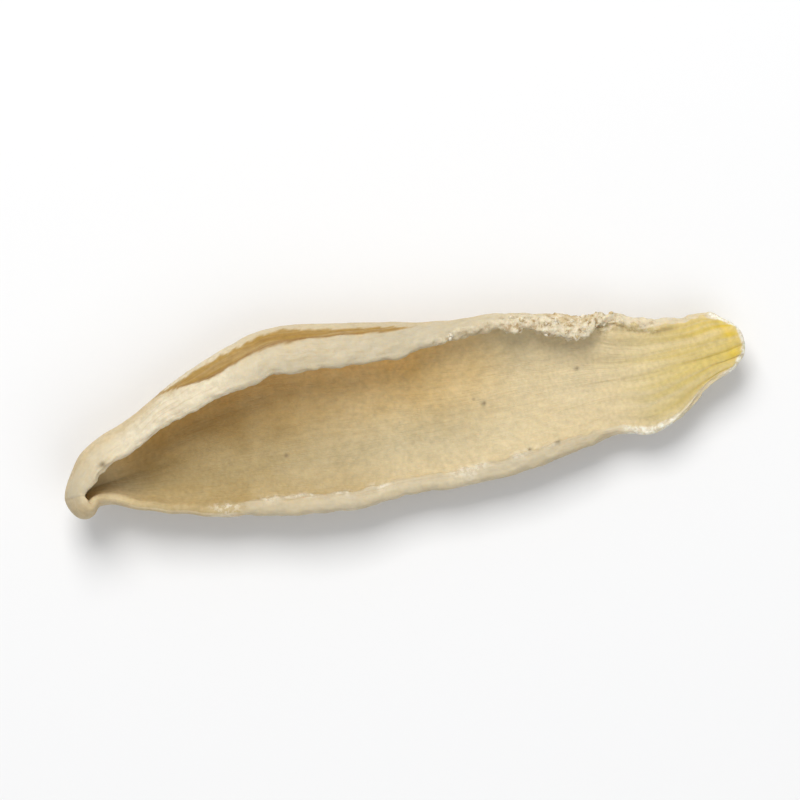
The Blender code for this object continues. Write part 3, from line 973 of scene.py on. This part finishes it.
@dataclass
class DriedScale:
    """The dried scale: a closed wall of two skins with its veins, pits and torn rim."""

    form: ScaleForm
    vein_spacing: float = 1.15
    vein_height: float = 0.022
    vein_wander: float = 0.55
    pit_spacing: float = 1.6
    pit_depth: float = 0.05
    crumb_size: float = 0.26
    crumb_density: float = 0.3
    ledge_height: float = 0.07
    speck_places: tuple[tuple[float, float, float], ...] = (
        (-9.8, -0.35, 0.15), (5.75, 0.25, 0.17), (13.2, 1.3, 0.15), (10.5, -3.85, 0.17),
        (-23.15, 2.02, 0.22), (8.3, -3.9, 0.14),
    )
    near_rim_width: Points = (
        (-26, 1.2), (-25, 0.3), (-15, 0.3), (-13, 0.9), (-9.8, 1.4), (-7, 1.1), (3, 0.9), (6, 1.3),
        (8, 1.1), (13, 0.6), (17, 0.45), (26, 0.2),
    )
    far_rim_width: Points = (
        (-26, 1.4), (-20, 1.8), (-15, 2.2), (-5, 2.4), (1, 2.2), (6, 1.6), (11, 1.2), (15, 0.8),
        (18, 0.3), (26, 0.2),
    )
    inner_rim_limit: Points = ((15, 0.55), (18, 0.12))
    far_dullness: Points = (
        (-26, 0.65), (-22, 0.1), (-14, 0.0), (-10, 0.45), (-5, 0.6), (0, 0.9), (6, 0.6), (10, 0.3),
        (14, 0.0),
    )
    near_dullness: Points = (
        (-20, 0.8), (-10, 0.6), (4, 0.7), (13, 1.0), (16, 0.0), (20, 0.0), (23, 0.3),
    )
    strip_floor: Points = ((-15.0, 2.2), (-8.0, 3.3))
    strip_reach: Points = ((-14.0, 1.0), (-9.0, 0.88))
    torn_height: float = 1.5
    grit_height: float = 0.5
    rim_height: float = 0.3
    wrinkle_height: float = 0.5
    swell_height: float = 0.2
    tuck_depth: float = 0.3
    fold_height: float = 0.14
    skin_height: float = 0.1
    hood_smoothing: int = 12
    map_length: float = 60.0
    seed: int = 5

    def masks(self, shape: dict[str, np.ndarray], skin: Skin) -> dict[str, np.ndarray]:
        """Measures that the finish follows, for one skin.

        Args:
            shape: What the form's shape() gave.
            skin: Which side of the wall.

        Returns:
            Grids of numbers by the attribute's name.
        """
        form, on = self.form, self.ground(shape, skin)
        specks = np.zeros_like(on.x)
        for place_x, place_y, size in self.speck_places:
            away = (on.x - place_x) ** 2 + (on.y - place_y) ** 2
            specks += np.exp(-away / size**2) * (on.z > 1.5)
        calm = fade(on.margin, 0.4, 1.6) * fade(on.x, -25.0, -21.0) * (1 - fade(on.x, 24.0, 25.6))
        rims = self.rim_masks(on)
        return {
            "along": on.x - form.tip_x, "across": on.share * form.sheet_reach, "calm": calm,
            "seam": 1 - fade(on.x, -26.1, -24.9), "speck": np.clip(specks, 0, 1),
            **rims, **self.shade_masks(on), **self.foot_masks(on),
            **self.wear_masks(on, rims["rim"]),
        }

    def ground(self, shape: dict[str, np.ndarray], skin: Skin) -> Ground:
        """Grids of one skin that its masks are worked out from.

        Args:
            shape: What the form's shape() gave.
            skin: Which side of the wall.

        Returns:
            The skin's grids.
        """
        form = self.form
        x, share, margin = (shape[key] for key in ("x", "share", "margin"))
        points = shape["hollow"] if skin is Skin.HOLLOW else shape["back"]
        far = fade(share, -0.05, 0.05)
        near_width = along_lines(x, self.near_rim_width)
        far_width = along_lines(x, self.far_rim_width)
        if skin is Skin.HOLLOW:
            near_width = near_width * 0.9
            far_width = np.minimum(far_width, along_lines(x, self.inner_rim_limit))
        ragged = 0.16 * waves(x, margin, 1.9, form.seed + 21, 8)
        ragged = ragged + 0.1 * waves(x, margin, 0.8, form.seed + 22, 9)
        to_end = form.foot_x - form.foot_bow * np.abs(share) ** form.foot_roundness - x
        return Ground(
            skin=skin, x=x, y=points[:, :, 1], z=points[:, :, 2], share=share, margin=margin,
            far=far, ragged=ragged, width=near_width * (1 - far) + far_width * far,
            to_end=to_end, foot_edge=1 - fade(to_end, 0.08, 0.35))

    def rim_masks(self, on: Ground) -> dict[str, np.ndarray]:
        """Cream rim, its dull stretches and ledge, the shrunken strip outside it, and the strip's painted
        contact shadow.

        Args:
            on: Grids of the skin.

        Returns:
            The masks "rim", "dull", "step", "strip" and "crease".
        """
        x, far, near = on.x, on.far, 1 - on.far
        wavy_margin = on.margin + on.ragged
        rim = 1 - fade(wavy_margin, 0.6 * on.width, 1.2 * on.width)
        rim *= 1 - near * (0.15 + 0.6 * span(x, (-24.5, -14.5), 1.5))
        rim = np.maximum(rim, on.foot_edge * 0.8)
        dull = along_lines(x, self.far_dullness) * far + near * along_lines(x, self.near_dullness)
        step = near * span(x, (-12.0, 13.0), 2.0) * (1 - fade(wavy_margin, 0.85 * on.width, on.width))
        step += far * 0.5 * span(x, (-6.0, 8.0), 3.0) * (1 - fade(wavy_margin, 0.2, 0.35))
        strip = np.zeros_like(x)
        crease_shadow_and_line = np.zeros_like(x)
        if on.skin is Skin.BACK:
            rim_line = self.form.curve["rim_line"](x)
            outside = self.form.curve["far_side"](x) + 0.4
            beyond = (on.y - rim_line) / np.maximum(outside - rim_line, 0.2)
            low = along_lines(x, self.strip_floor)
            open_strip = span(x, (-17.4, 0.8), 1.4) * fade((on.z - low) / 1.1, 0.0, 1.0) * far
            inside = fade(beyond + 0.35 * on.ragged, 0.03, 0.25)
            outer = along_lines(x, self.strip_reach)
            outer = outer + 0.08 * waves(x, 0 * x, 1.1, self.form.seed + 24)
            # The strip's brown is partly the tissue's tan and partly painted shade in the groove.
            strip = inside * (1 - fade(beyond, outer, outer + 0.12)) * open_strip
            # Painted contact shadow just outside the cream band, and a brown line within the strip.
            crease_shadow_and_line = bump(beyond + 0.35 * on.ragged, 0.22, 0.1)
            crease_shadow_and_line = crease_shadow_and_line + 0.6 * bump(beyond - 0.5 * on.ragged, 0.6, 0.08)
            crease_shadow_and_line = np.clip(crease_shadow_and_line, 0, 1) * open_strip
            # The strip's thin outer edge is painted pale: partly the margin's own cream, partly painted
            # highlight.
            thin_edge = fade(beyond, outer, outer + 0.12) * open_strip
            rim = np.maximum(rim * (1 - inside * open_strip), 0.55 * thin_edge)
        return {"rim": rim, "dull": dull, "step": step, "strip": strip, "crease_shadow_and_line": crease_shadow_and_line}

    def shade_masks(self, on: Ground) -> dict[str, np.ndarray]:
        """Painted shade of the tissue, darker and warmer where shade falls.

        Args:
            on: Grids of the skin.

        Returns:
            The masks "shade", "gloom" and "dusk".
        """
        x, share = on.x, on.share
        if on.skin is Skin.BACK:
            # On the back, painted shade darkens the tissue towards the bottom.
            return {"shade": 0.35 * fade(on.z, 4.0, 1.0), "tip_shade": np.zeros_like(x), "hollow_shade": np.zeros_like(x)}
        # Painted shade over the hollow's far wall, weaker in the tip's pocket and gone towards the foot.
        shade = fade(share, -0.55, 0.6) * (1 - fade(x, 0.5, 10.5))
        shade *= 0.35 + 0.65 * fade(x, -25.0, -21.5)
        # Painted shade, darkest towards the hood's tip.
        tip_shade = 1 - fade(x + 4.0 * share, -17.0, 0.0)
        tip_shade = tip_shade * np.maximum(fade(on.margin, 0.1, 1.4), 1 - on.far)
        tip_shade *= 1 - 0.85 * fade(share, 0.15, 0.8) * fade(x, -20.0, -14.0)
        tip_shade *= fade(x, -24.5, -19.5)
        # Painted shade over the hollow's middle, a stretch of the far wall and the near side by the foot.
        hollow_shade = (1 - fade(x, 0.0, 11.0)) * bump(share, -0.1, 0.5) * fade(on.margin, 0.4, 2.0)
        hollow_shade += 0.5 * span(x, (2.5, 8.5), 2.5) * bump(share, 0.5, 0.35)
        hollow_shade += 0.6 * span(x, (18.5, 24.0), 2.5) * bump(share, -0.6, 0.5)
        return {"shade": shade, "tip_shade": tip_shade, "hollow_shade": hollow_shade}

    def foot_masks(self, on: Ground) -> dict[str, np.ndarray]:
        """Yellow of the foot and its deeper amber spots.

        Args:
            on: Grids of the skin.

        Returns:
            The masks "yellow" and "amber".
        """
        strength = 1.0 if on.skin is Skin.HOLLOW else 0.75
        middle = 0.62 + 0.25 * bump(on.y, 0.9, 2.0)
        yellow = fade(on.x, 13.0, 25.0) * middle * (1 - 0.5 * on.foot_edge)
        yellow = yellow + 0.14 * span(on.x, (19.0, 24.0), 2.5) * bump(on.share, -0.55, 0.4)
        spots = bump(on.y, 1.5, 0.6) + 0.75 * bump(on.y, -0.2, 0.45)
        amber = bump(on.to_end, 0.85, 0.5) * spots
        amber = amber + 0.3 * fade(on.x, 19.5, 24.5) * bump(on.y, 2.0, 0.5)
        return {"yellow": yellow * strength, "amber": np.clip(amber, 0, 1)}

    def wear_masks(self, on: Ground, rim: np.ndarray) -> dict[str, np.ndarray]:
        """Painted highlights, wrinkles, the torn stretch and where the surface is moved.

        Args:
            on: Grids of the skin.
            rim: The mask of the cream rim.

        Returns:
            The masks "flare", "wrinkled", "torn", "swell", "cross" and "tuck".
        """
        x, margin, far, near = on.x, on.margin, on.far, 1 - on.far
        seed = self.form.seed
        # Painted highlight on the near margin by the foot, the foot's thin edge, crests of the near lip and
        # the far band's brightest stretch.
        painted_highlight = near * span(x, (16.2, 19.2), 1.0) * (1 - fade(margin, 0.25, 0.6))
        painted_highlight = np.maximum(painted_highlight, on.foot_edge)
        crests = bump(margin + on.ragged, 0.7 * on.width, 0.42) * near
        crests *= fade(waves(x, margin, 2.4, seed + 31), -0.7, 0.5)
        stretches = span(x, (-15.0, -3.0), 2.0) + span(x, (3.0, 9.0), 2.0)
        painted_highlight = np.maximum(painted_highlight, 0.6 * crests * stretches)
        painted_highlight = np.maximum(painted_highlight, 0.25 * far * span(x, (-21.0, -13.0), 2.0) * rim)
        wrinkled = rim * fade(x, -25.7, -23.5) * (1 - on.foot_edge)
        crumbly = far * span(x, (15.5, 19.5), 0.8) * (1 - fade(margin, 0.5, 1.1))
        torn = np.maximum(self.form.torn(x, on.share, margin), 0.45 * crumbly)
        swell = far * span(x, (16.5, 20.6), 0.9) * (1 - fade(margin, 0.2, 0.8))
        cross = np.zeros_like(x)
        tuck = np.zeros_like(x)
        if on.skin is Skin.HOLLOW:
            cross = span(x, (-4.0, 9.0), 3.0) * bump(on.share, 0.3, 0.45) * fade(margin, 0.8, 2.5)
        else:
            tuck = near * span(x, (18.8, 25.2), 0.9) * (1 - fade(margin, 0.8, 2.2))
        return {"painted_highlight": painted_highlight, "wrinkled": wrinkled, "torn": torn, "swell": swell,
                "cross": cross, "tuck": tuck}

    def mesh(self) -> bpy.types.Mesh:
        """Closed mesh of the wall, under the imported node's box, with its measures kept on it."""
        form = self.form
        shape = form.shape()
        shift = form.shift(shape, *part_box("bulb_scale"))
        rows, columns = shape["x"].shape
        place = np.arange(rows * columns).reshape(rows, columns)
        place[0] = np.minimum(place[0], place[0, ::-1])
        outer = place + rows * columns
        outer[:, [0, -1]] = place[:, [0, -1]]
        outer[-1] = place[-1]

        def quads(grid: np.ndarray) -> np.ndarray:
            """Corner numbers of every face of a grid."""
            corners = [grid[:-1, :-1], grid[1:, :-1], grid[1:, 1:], grid[:-1, 1:]]
            return np.stack(corners, axis=-1).reshape(-1, 4)

        faces = np.concatenate([quads(place), quads(outer)[:, ::-1]])
        used, faces = np.unique(faces, return_inverse=True)
        faces = faces.reshape(-1, 4)
        points = np.concatenate([shape["hollow"].reshape(-1, 3), shape["back"].reshape(-1, 3)])[used] - shift
        points[:, 2] = np.maximum(points[:, 2], 0)
        mesh = bpy.data.meshes.new("dried_scale")
        mesh.from_pydata((points * MM).tolist(), [], faces.tolist())
        hollow, back = self.masks(shape, Skin.HOLLOW), self.masks(shape, Skin.BACK)
        for name in hollow:
            values = np.concatenate([hollow[name].ravel(), back[name].ravel()])[used]
            kept = mesh.attributes.new(name, "FLOAT", "POINT")
            kept.data.foreach_set("value", values.astype(np.float32))
        inner = mesh.attributes.new("inner", "FLOAT", "FACE")
        half = (rows - 1) * (columns - 1)
        inner.data.foreach_set("value", np.repeat([1.0, 0.0], half).astype(np.float32))
        flat = np.stack([shape["x"] - form.tip_x, shape["arc"]], axis=-1).reshape(-1, 2) / self.map_length
        flat = np.concatenate([flat, flat + (0.0, 0.5)])[used]
        layer = mesh.uv_layers.new(name="UVMap")
        layer.data.foreach_set("uv", flat[faces.ravel()].ravel().astype(np.float32))
        mesh.update()
        return mesh

    def relief_tree(self, materials: dict[str, bpy.types.Material]) -> bpy.types.NodeTree:
        """Geometry Nodes tree of the veins, the pits and the crumbs of the torn rim.

        Args:
            materials: The finishes "hollow", "back" and "torn".

        Returns:
            The tree, with named inputs for its sizes.
        """
        tree = bpy.data.node_groups.new("scale_relief", "GeometryNodeTree")
        board = NodeBoard(tree)
        sizes = {"Vein spacing": self.vein_spacing, "Vein height": self.vein_height,
                 "Vein wander": self.vein_wander, "Pit spacing": self.pit_spacing,
                 "Pit depth": self.pit_depth, "Crumb size": self.crumb_size,
                 "Crumb density": self.crumb_density, "Ledge height": self.ledge_height}
        inputs: dict[str, tuple[str, object]] = {"Geometry": ("NodeSocketGeometry", None)}
        inputs.update({name: ("NodeSocketFloat", value) for name, value in sizes.items()})
        inputs["Seed"] = ("NodeSocketInt", self.seed)
        given, result = board.sockets(inputs, {"Geometry": "NodeSocketGeometry"})
        get = given.outputs

        moved = self._moved(board, get)
        joined = board.node("GeometryNodeJoinGeometry")
        board.feed(joined.inputs[0], self._crumbs(board, get, moved))
        board.feed(joined.inputs[0], moved)
        smooth = board.node("GeometryNodeSetShadeSmooth", {"Geometry": joined.outputs[0]})
        last = board.node("GeometryNodeRealizeInstances", {"Geometry": smooth.outputs[0]}).outputs[0]
        inner, crumb = board.kept("inner"), board.kept("crumb")
        choices = ((materials["back"], board.math("LESS_THAN", inner, 0.5)),
                   (materials["hollow"], board.math("GREATER_THAN", inner, 0.5)),
                   (materials["torn"], board.math("GREATER_THAN", crumb, 0.5)))
        for material, chosen in choices:
            last = board.node("GeometryNodeSetMaterial", {
                "Geometry": last, "Selection": chosen, "Material": material}).outputs[0]
        board.feed(result.inputs["Geometry"], last)
        return tree

    def _moved(self, board: NodeBoard, get: bpy.types.NodeOutputs) -> bpy.types.NodeSocket:
        """Smooth the hood's end and raise the relief over the whole wall.

        Args:
            board: Board of the relief's tree.
            get: The tree's own inputs.

        Returns:
            The moved mesh's socket.
        """
        eased = board.node("GeometryNodeBlurAttribute", {
            "Value": board.node("GeometryNodeInputPosition").outputs[0],
            "Iterations": self.hood_smoothing, "Weight": board.kept("seam")}, data_type="FLOAT_VECTOR")
        smoothed = board.node("GeometryNodeSetPosition", {
            "Geometry": get["Geometry"], "Position": eased.outputs[0]})
        lift = board.product(self._height(board, get), MM)
        normal = board.node("GeometryNodeInputNormal").outputs[0]
        return board.node("GeometryNodeSetPosition", {
            "Geometry": smoothed.outputs[0], "Offset": board.scaled(normal, lift)}).outputs[0]

    def _height(self, board: NodeBoard, get: bpy.types.NodeOutputs) -> bpy.types.NodeSocket:
        """Height of the whole relief over the plain wall, in millimetres.

        Args:
            board: Board of the relief's tree.
            get: The tree's own inputs.

        Returns:
            The height's socket.
        """
        along, across = board.kept("along"), board.kept("across")
        place = board.scaled(board.node("GeometryNodeInputPosition").outputs[0], 1 / MM)
        stretched = board.node("ShaderNodeCombineXYZ", {
            "X": board.product(along, 0.11), "Y": board.product(across, 0.3)}).outputs[0]
        skin = board.product(self._skin_relief(board, get, place, stretched), board.kept("calm"))
        ledge = board.product(board.kept("step"), get["Ledge height"])
        rim = self._rim_relief(board, place, stretched)
        height = board.math("ADD", board.math("ADD", skin, ledge), rim)
        height = board.math("MULTIPLY_ADD", board.kept("swell"), self.swell_height, height)
        height = board.math("MULTIPLY_ADD", board.kept("tuck"), -self.tuck_depth, height)
        sideways = board.math("MULTIPLY_ADD", along, 0.25, board.product(across, 0.28))
        slanted = board.node("ShaderNodeCombineXYZ", {"X": board.product(along, 1.5), "Y": sideways})
        folds = board.math("SUBTRACT", board.noise(slanted.outputs[0], 1.0, 3.0), 0.5)
        return board.math("MULTIPLY_ADD", folds, board.product(board.kept("cross"), self.fold_height), height)

    def _skin_relief(self, board: NodeBoard, get: bpy.types.NodeOutputs, place: bpy.types.NodeSocket,
                     stretched: bpy.types.NodeSocket) -> bpy.types.NodeSocket:
        """Veins, pits and gentle unevenness of the whole tissue.

        Args:
            board: Board of the relief's tree.
            get: The tree's own inputs.
            place: Position in millimetres.
            stretched: Position on the sheet, drawn out lengthwise.

        Returns:
            The height's socket, in millimetres.
        """
        bend = board.math("SUBTRACT", board.noise(stretched, 1.0, 2.0), 0.5)
        wander = board.product(bend, board.product(get["Vein wander"], 4.0))
        bent = board.math("ADD", board.kept("across"), wander)
        turn = board.product(board.math("DIVIDE", bent, get["Vein spacing"]), 2 * math.pi)
        crest = board.math("POWER", board.math("MULTIPLY_ADD", board.math("SINE", turn), 0.5, 0.5), 2.5)
        faint = board.ramp(board.noise(stretched, 3.1, 1.0), 0.32, 0.6)
        off_foot = board.math("SUBTRACT", 1.0, board.kept("yellow"))
        vein = board.product(board.product(crest, get["Vein height"]), board.product(faint, off_foot))
        cells = board.node("ShaderNodeTexVoronoi", {
            "Vector": place, "Scale": board.math("DIVIDE", 1.0, get["Pit spacing"])})
        pit = board.product(board.ramp(cells.outputs["Distance"], 0.3, 0.02), get["Pit depth"])
        uneven = board.math("SUBTRACT", board.noise(place, 0.9, 5.0, 0.6), 0.5)
        return board.math("ADD", board.math("SUBTRACT", vein, pit), board.product(uneven, self.skin_height))

    def _rim_relief(self, board: NodeBoard, place: bpy.types.NodeSocket,
                    stretched: bpy.types.NodeSocket) -> bpy.types.NodeSocket:
        """Broken surface of the torn stretch, and lumps and wrinkles of the rim.

        Args:
            board: Board of the relief's tree.
            place: Position in millimetres.
            stretched: Position on the sheet, drawn out lengthwise.

        Returns:
            The height's socket, in millimetres.
        """
        torn, wrinkled = board.kept("torn"), board.kept("wrinkled")
        chalky = board.noise(place, 1.15, 4.0, 0.6)
        broken = board.product(board.math("SUBTRACT", chalky, 0.52), board.product(torn, self.torn_height))
        cells = board.node("ShaderNodeTexVoronoi", {"Vector": place, "Scale": 2.1}, feature="SMOOTH_F1")
        gritty = board.product(board.math("SUBTRACT", 0.4, cells.outputs["Distance"]), self.grit_height)
        broken = board.math("ADD", broken, board.product(torn, gritty))
        lumps = board.product(board.math("SUBTRACT", chalky, 0.5), board.product(wrinkled, self.rim_height))
        lines = board.math("SUBTRACT", board.noise(stretched, 6.5, 3.0), 0.5)
        lines = board.product(lines, board.product(wrinkled, self.wrinkle_height))
        return board.math("ADD", broken, board.math("ADD", lumps, lines))

    def _crumbs(self, board: NodeBoard, get: bpy.types.NodeOutputs,
                wall: bpy.types.NodeSocket) -> bpy.types.NodeSocket:
        """Loose crumbs scattered over the torn stretch.

        Args:
            board: Board of the relief's tree.
            get: The tree's own inputs.
            wall: Mesh that the crumbs lie on.

        Returns:
            The crumbs as instances.
        """
        wanted = board.product(board.product(board.kept("torn"), get["Crumb density"]), 1 / (MM * MM))
        spots = board.node("GeometryNodeDistributePointsOnFaces", {
            "Mesh": wall, "Density": wanted, "Seed": get["Seed"]})
        ball = board.node("GeometryNodeMeshIcoSphere", {"Radius": MM, "Subdivisions": 2})
        chance = board.node("FunctionNodeRandomValue", {
            2: 0.35, 3: 1.0, "Seed": get["Seed"]}, data_type="FLOAT")
        turned = board.node("FunctionNodeRandomValue", {
            0: (0.0, 0.0, 0.0), 1: (6.28, 6.28, 6.28), "Seed": get["Seed"]}, data_type="FLOAT_VECTOR")
        flat = board.node("ShaderNodeCombineXYZ", {"X": 1.0, "Y": 0.75, "Z": 0.55}).outputs[0]
        size = board.product(chance.outputs[1], get["Crumb size"])
        crumbs = board.node("GeometryNodeInstanceOnPoints", {
            "Points": spots.outputs["Points"], "Instance": ball.outputs["Mesh"],
            "Rotation": turned.outputs[0], "Scale": board.scaled(flat, size)})
        return board.node("GeometryNodeStoreNamedAttribute", {
            "Geometry": crumbs.outputs[0], "Name": "crumb", "Value": 1.0},
            data_type="FLOAT", domain="INSTANCE").outputs[0]

    def build(self, materials: dict[str, bpy.types.Material]) -> bpy.types.Object:
        """Make the scale as one plain mesh object.

        Args:
            materials: The finishes "hollow", "back" and "torn".

        Returns:
            The finished object, with no modifier left on it.
        """
        sheet = bpy.data.objects.new("scale_sheet", self.mesh())
        bpy.context.scene.collection.objects.link(sheet)
        tree = self.relief_tree(materials)
        relief = sheet.modifiers.new("relief", "NODES")
        relief.node_group = tree
        for item in tree.interface.items_tree:
            if item.in_out == "INPUT" and item.socket_type in ("NodeSocketFloat", "NodeSocketInt"):
                relief[item.identifier] = item.default_value
        settled = sheet.evaluated_get(bpy.context.evaluated_depsgraph_get())
        mesh = bpy.data.meshes.new_from_object(settled, preserve_all_data_layers=True,
                                               depsgraph=bpy.context.evaluated_depsgraph_get())
        bpy.data.objects.remove(sheet)
        points = np.zeros(len(mesh.vertices) * 3, np.float32)
        mesh.vertices.foreach_get("co", points)
        points = points.reshape(-1, 3)
        low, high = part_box("bulb_scale")
        points = np.clip(points, np.array(low), np.array(high)).astype(np.float32)
        mesh.vertices.foreach_set("co", points.ravel())
        mesh.name = "dried_scale"
        mesh.update()
        piece = bpy.data.objects.new("dried_scale", mesh)
        bpy.context.scene.collection.objects.link(piece)
        return piece


@dataclass
class Studio:
    """Pale floor, soft light from above and the camera over the scale."""

    photo_roll_deg: float = 12.6
    frame_width: float = 0.0605
    lens_mm: float = 190.0
    sensor_mm: float = 36.0
    aim: tuple[float, float, float] = (0.0, 0.0, 0.003)

    def floor(self) -> bpy.types.Object:
        """Wide plain floor in matt off-white."""
        mesh = bpy.data.meshes.new("floor")
        size = 1.5
        corners = [(-size, -size, 0), (size, -size, 0), (size, size, 0), (-size, size, 0)]
        mesh.from_pydata(corners, [], [(0, 1, 2, 3)])
        material = bpy.data.materials.new("studio_floor")
        material.use_nodes = True
        board = NodeBoard(material.node_tree)
        material.node_tree.nodes.clear()
        surface = board.node("ShaderNodeBsdfPrincipled", {
            "Base Color": (0.86, 0.86, 0.86, 1), "Roughness": 0.7})
        board.node("ShaderNodeOutputMaterial", {"Surface": surface.outputs["BSDF"]})
        mesh.materials.append(material)
        floor = bpy.data.objects.new("floor", mesh)
        bpy.context.scene.collection.objects.link(floor)
        return floor

    def lamp(self, name: str, place: Vector, size: float, watts: float,
             colour: Colour) -> bpy.types.Object:
        """Square area lamp aimed at the scale.

        Args:
            name: Name of the lamp.
            place: Where it hangs, in metres.
            size: Its side, in metres.
            watts: Its power.
            colour: Its colour.

        Returns:
            The lamp.
        """
        data = bpy.data.lights.new(name, "AREA")
        data.size, data.energy, data.color = size, watts, colour
        lamp = bpy.data.objects.new(name, data)
        lamp.location = place
        lamp.rotation_euler = (Vector(self.aim) - place).to_track_quat("-Z", "Y").to_euler()
        bpy.context.scene.collection.objects.link(lamp)
        return lamp

    def lights(self) -> None:
        """Key from the photo's upper side, a weak fill and a pale surround."""
        turn = math.radians(-self.photo_roll_deg)
        up = Vector((-math.sin(turn), math.cos(turn), 0))
        right = Vector((math.cos(turn), math.sin(turn), 0))
        self.lamp("key", 0.34 * up - 0.1 * right + Vector((0, 0, 0.5)), 0.32, 2.9, (1.0, 0.985, 0.965))
        self.lamp("fill", -0.3 * up + 0.25 * right + Vector((0, 0, 0.5)), 0.5, 0.9, (0.97, 0.985, 1.0))
        world = bpy.data.worlds.new("pale_surround")
        world.use_nodes = True
        world.node_tree.nodes["Background"].inputs["Color"].default_value = (0.95, 0.97, 1.0, 1)
        world.node_tree.nodes["Background"].inputs["Strength"].default_value = 0.42
        bpy.context.scene.world = world

    def camera(self) -> bpy.types.Object:
        """Camera straight above the scale, rolled as in the photo."""
        data = bpy.data.cameras.new("camera")
        data.lens, data.sensor_width = self.lens_mm, self.sensor_mm
        data.clip_start, data.clip_end = 0.01, 20.0
        camera = bpy.data.objects.new("camera", data)
        distance = self.frame_width * self.lens_mm / self.sensor_mm
        camera.location = Vector(self.aim) + Vector((0, 0, distance))
        camera.rotation_euler = (0, 0, math.radians(-self.photo_roll_deg))
        bpy.context.scene.collection.objects.link(camera)
        bpy.context.scene.camera = camera
        return camera


HOLLOW_FINISH = TissueFinish(
    name="hollow_tissue", cream=(0.68, 0.565, 0.345), deep=(0.6, 0.475, 0.265),
    painted_shade_tint=(1.32, 1.03, 0.58), rim=(0.7, 0.62, 0.46), strip=(0.37, 0.22, 0.045),
    yellow=(0.63, 0.48, 0.12), amber=(0.7, 0.5, 0.05),
    streak=0.1, mottle=0.45, grain_height=0.03, roughness=(0.5, 0.66), subsurface=0.22)
BACK_FINISH = TissueFinish(
    name="back_tissue", cream=(0.62, 0.51, 0.32), deep=(0.53, 0.4, 0.21),
    painted_shade_tint=(0.9, 0.78, 0.6), rim=(0.7, 0.62, 0.46), strip=(0.37, 0.22, 0.045),
    yellow=(0.64, 0.51, 0.2), amber=(0.62, 0.45, 0.07),
    streak=0.4, mottle=0.45, grain_height=0.026, roughness=(0.44, 0.6), subsurface=0.22)


def main() -> None:
    """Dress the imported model."""
    logging.basicConfig(level=logging.INFO, format="%(name)s: %(message)s")
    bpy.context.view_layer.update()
    view = bpy.context.scene.view_settings
    view.view_transform = "Standard"
    studio = Studio()
    studio.camera()
    studio.lights()
    studio.floor()
    LOG.info("studio ready")
    groups = EffectGroups()
    materials = {"hollow": HOLLOW_FINISH.material(groups), "back": BACK_FINISH.material(groups),
                 "torn": CrumbFinish().material(groups)}
    scale = DriedScale(ScaleForm()).build(materials)
    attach(scale, "root")
    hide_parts("bulb_scale")
    LOG.info("dried scale: %d faces", len(scale.data.polygons))


if __name__ == "__main__":
    main()
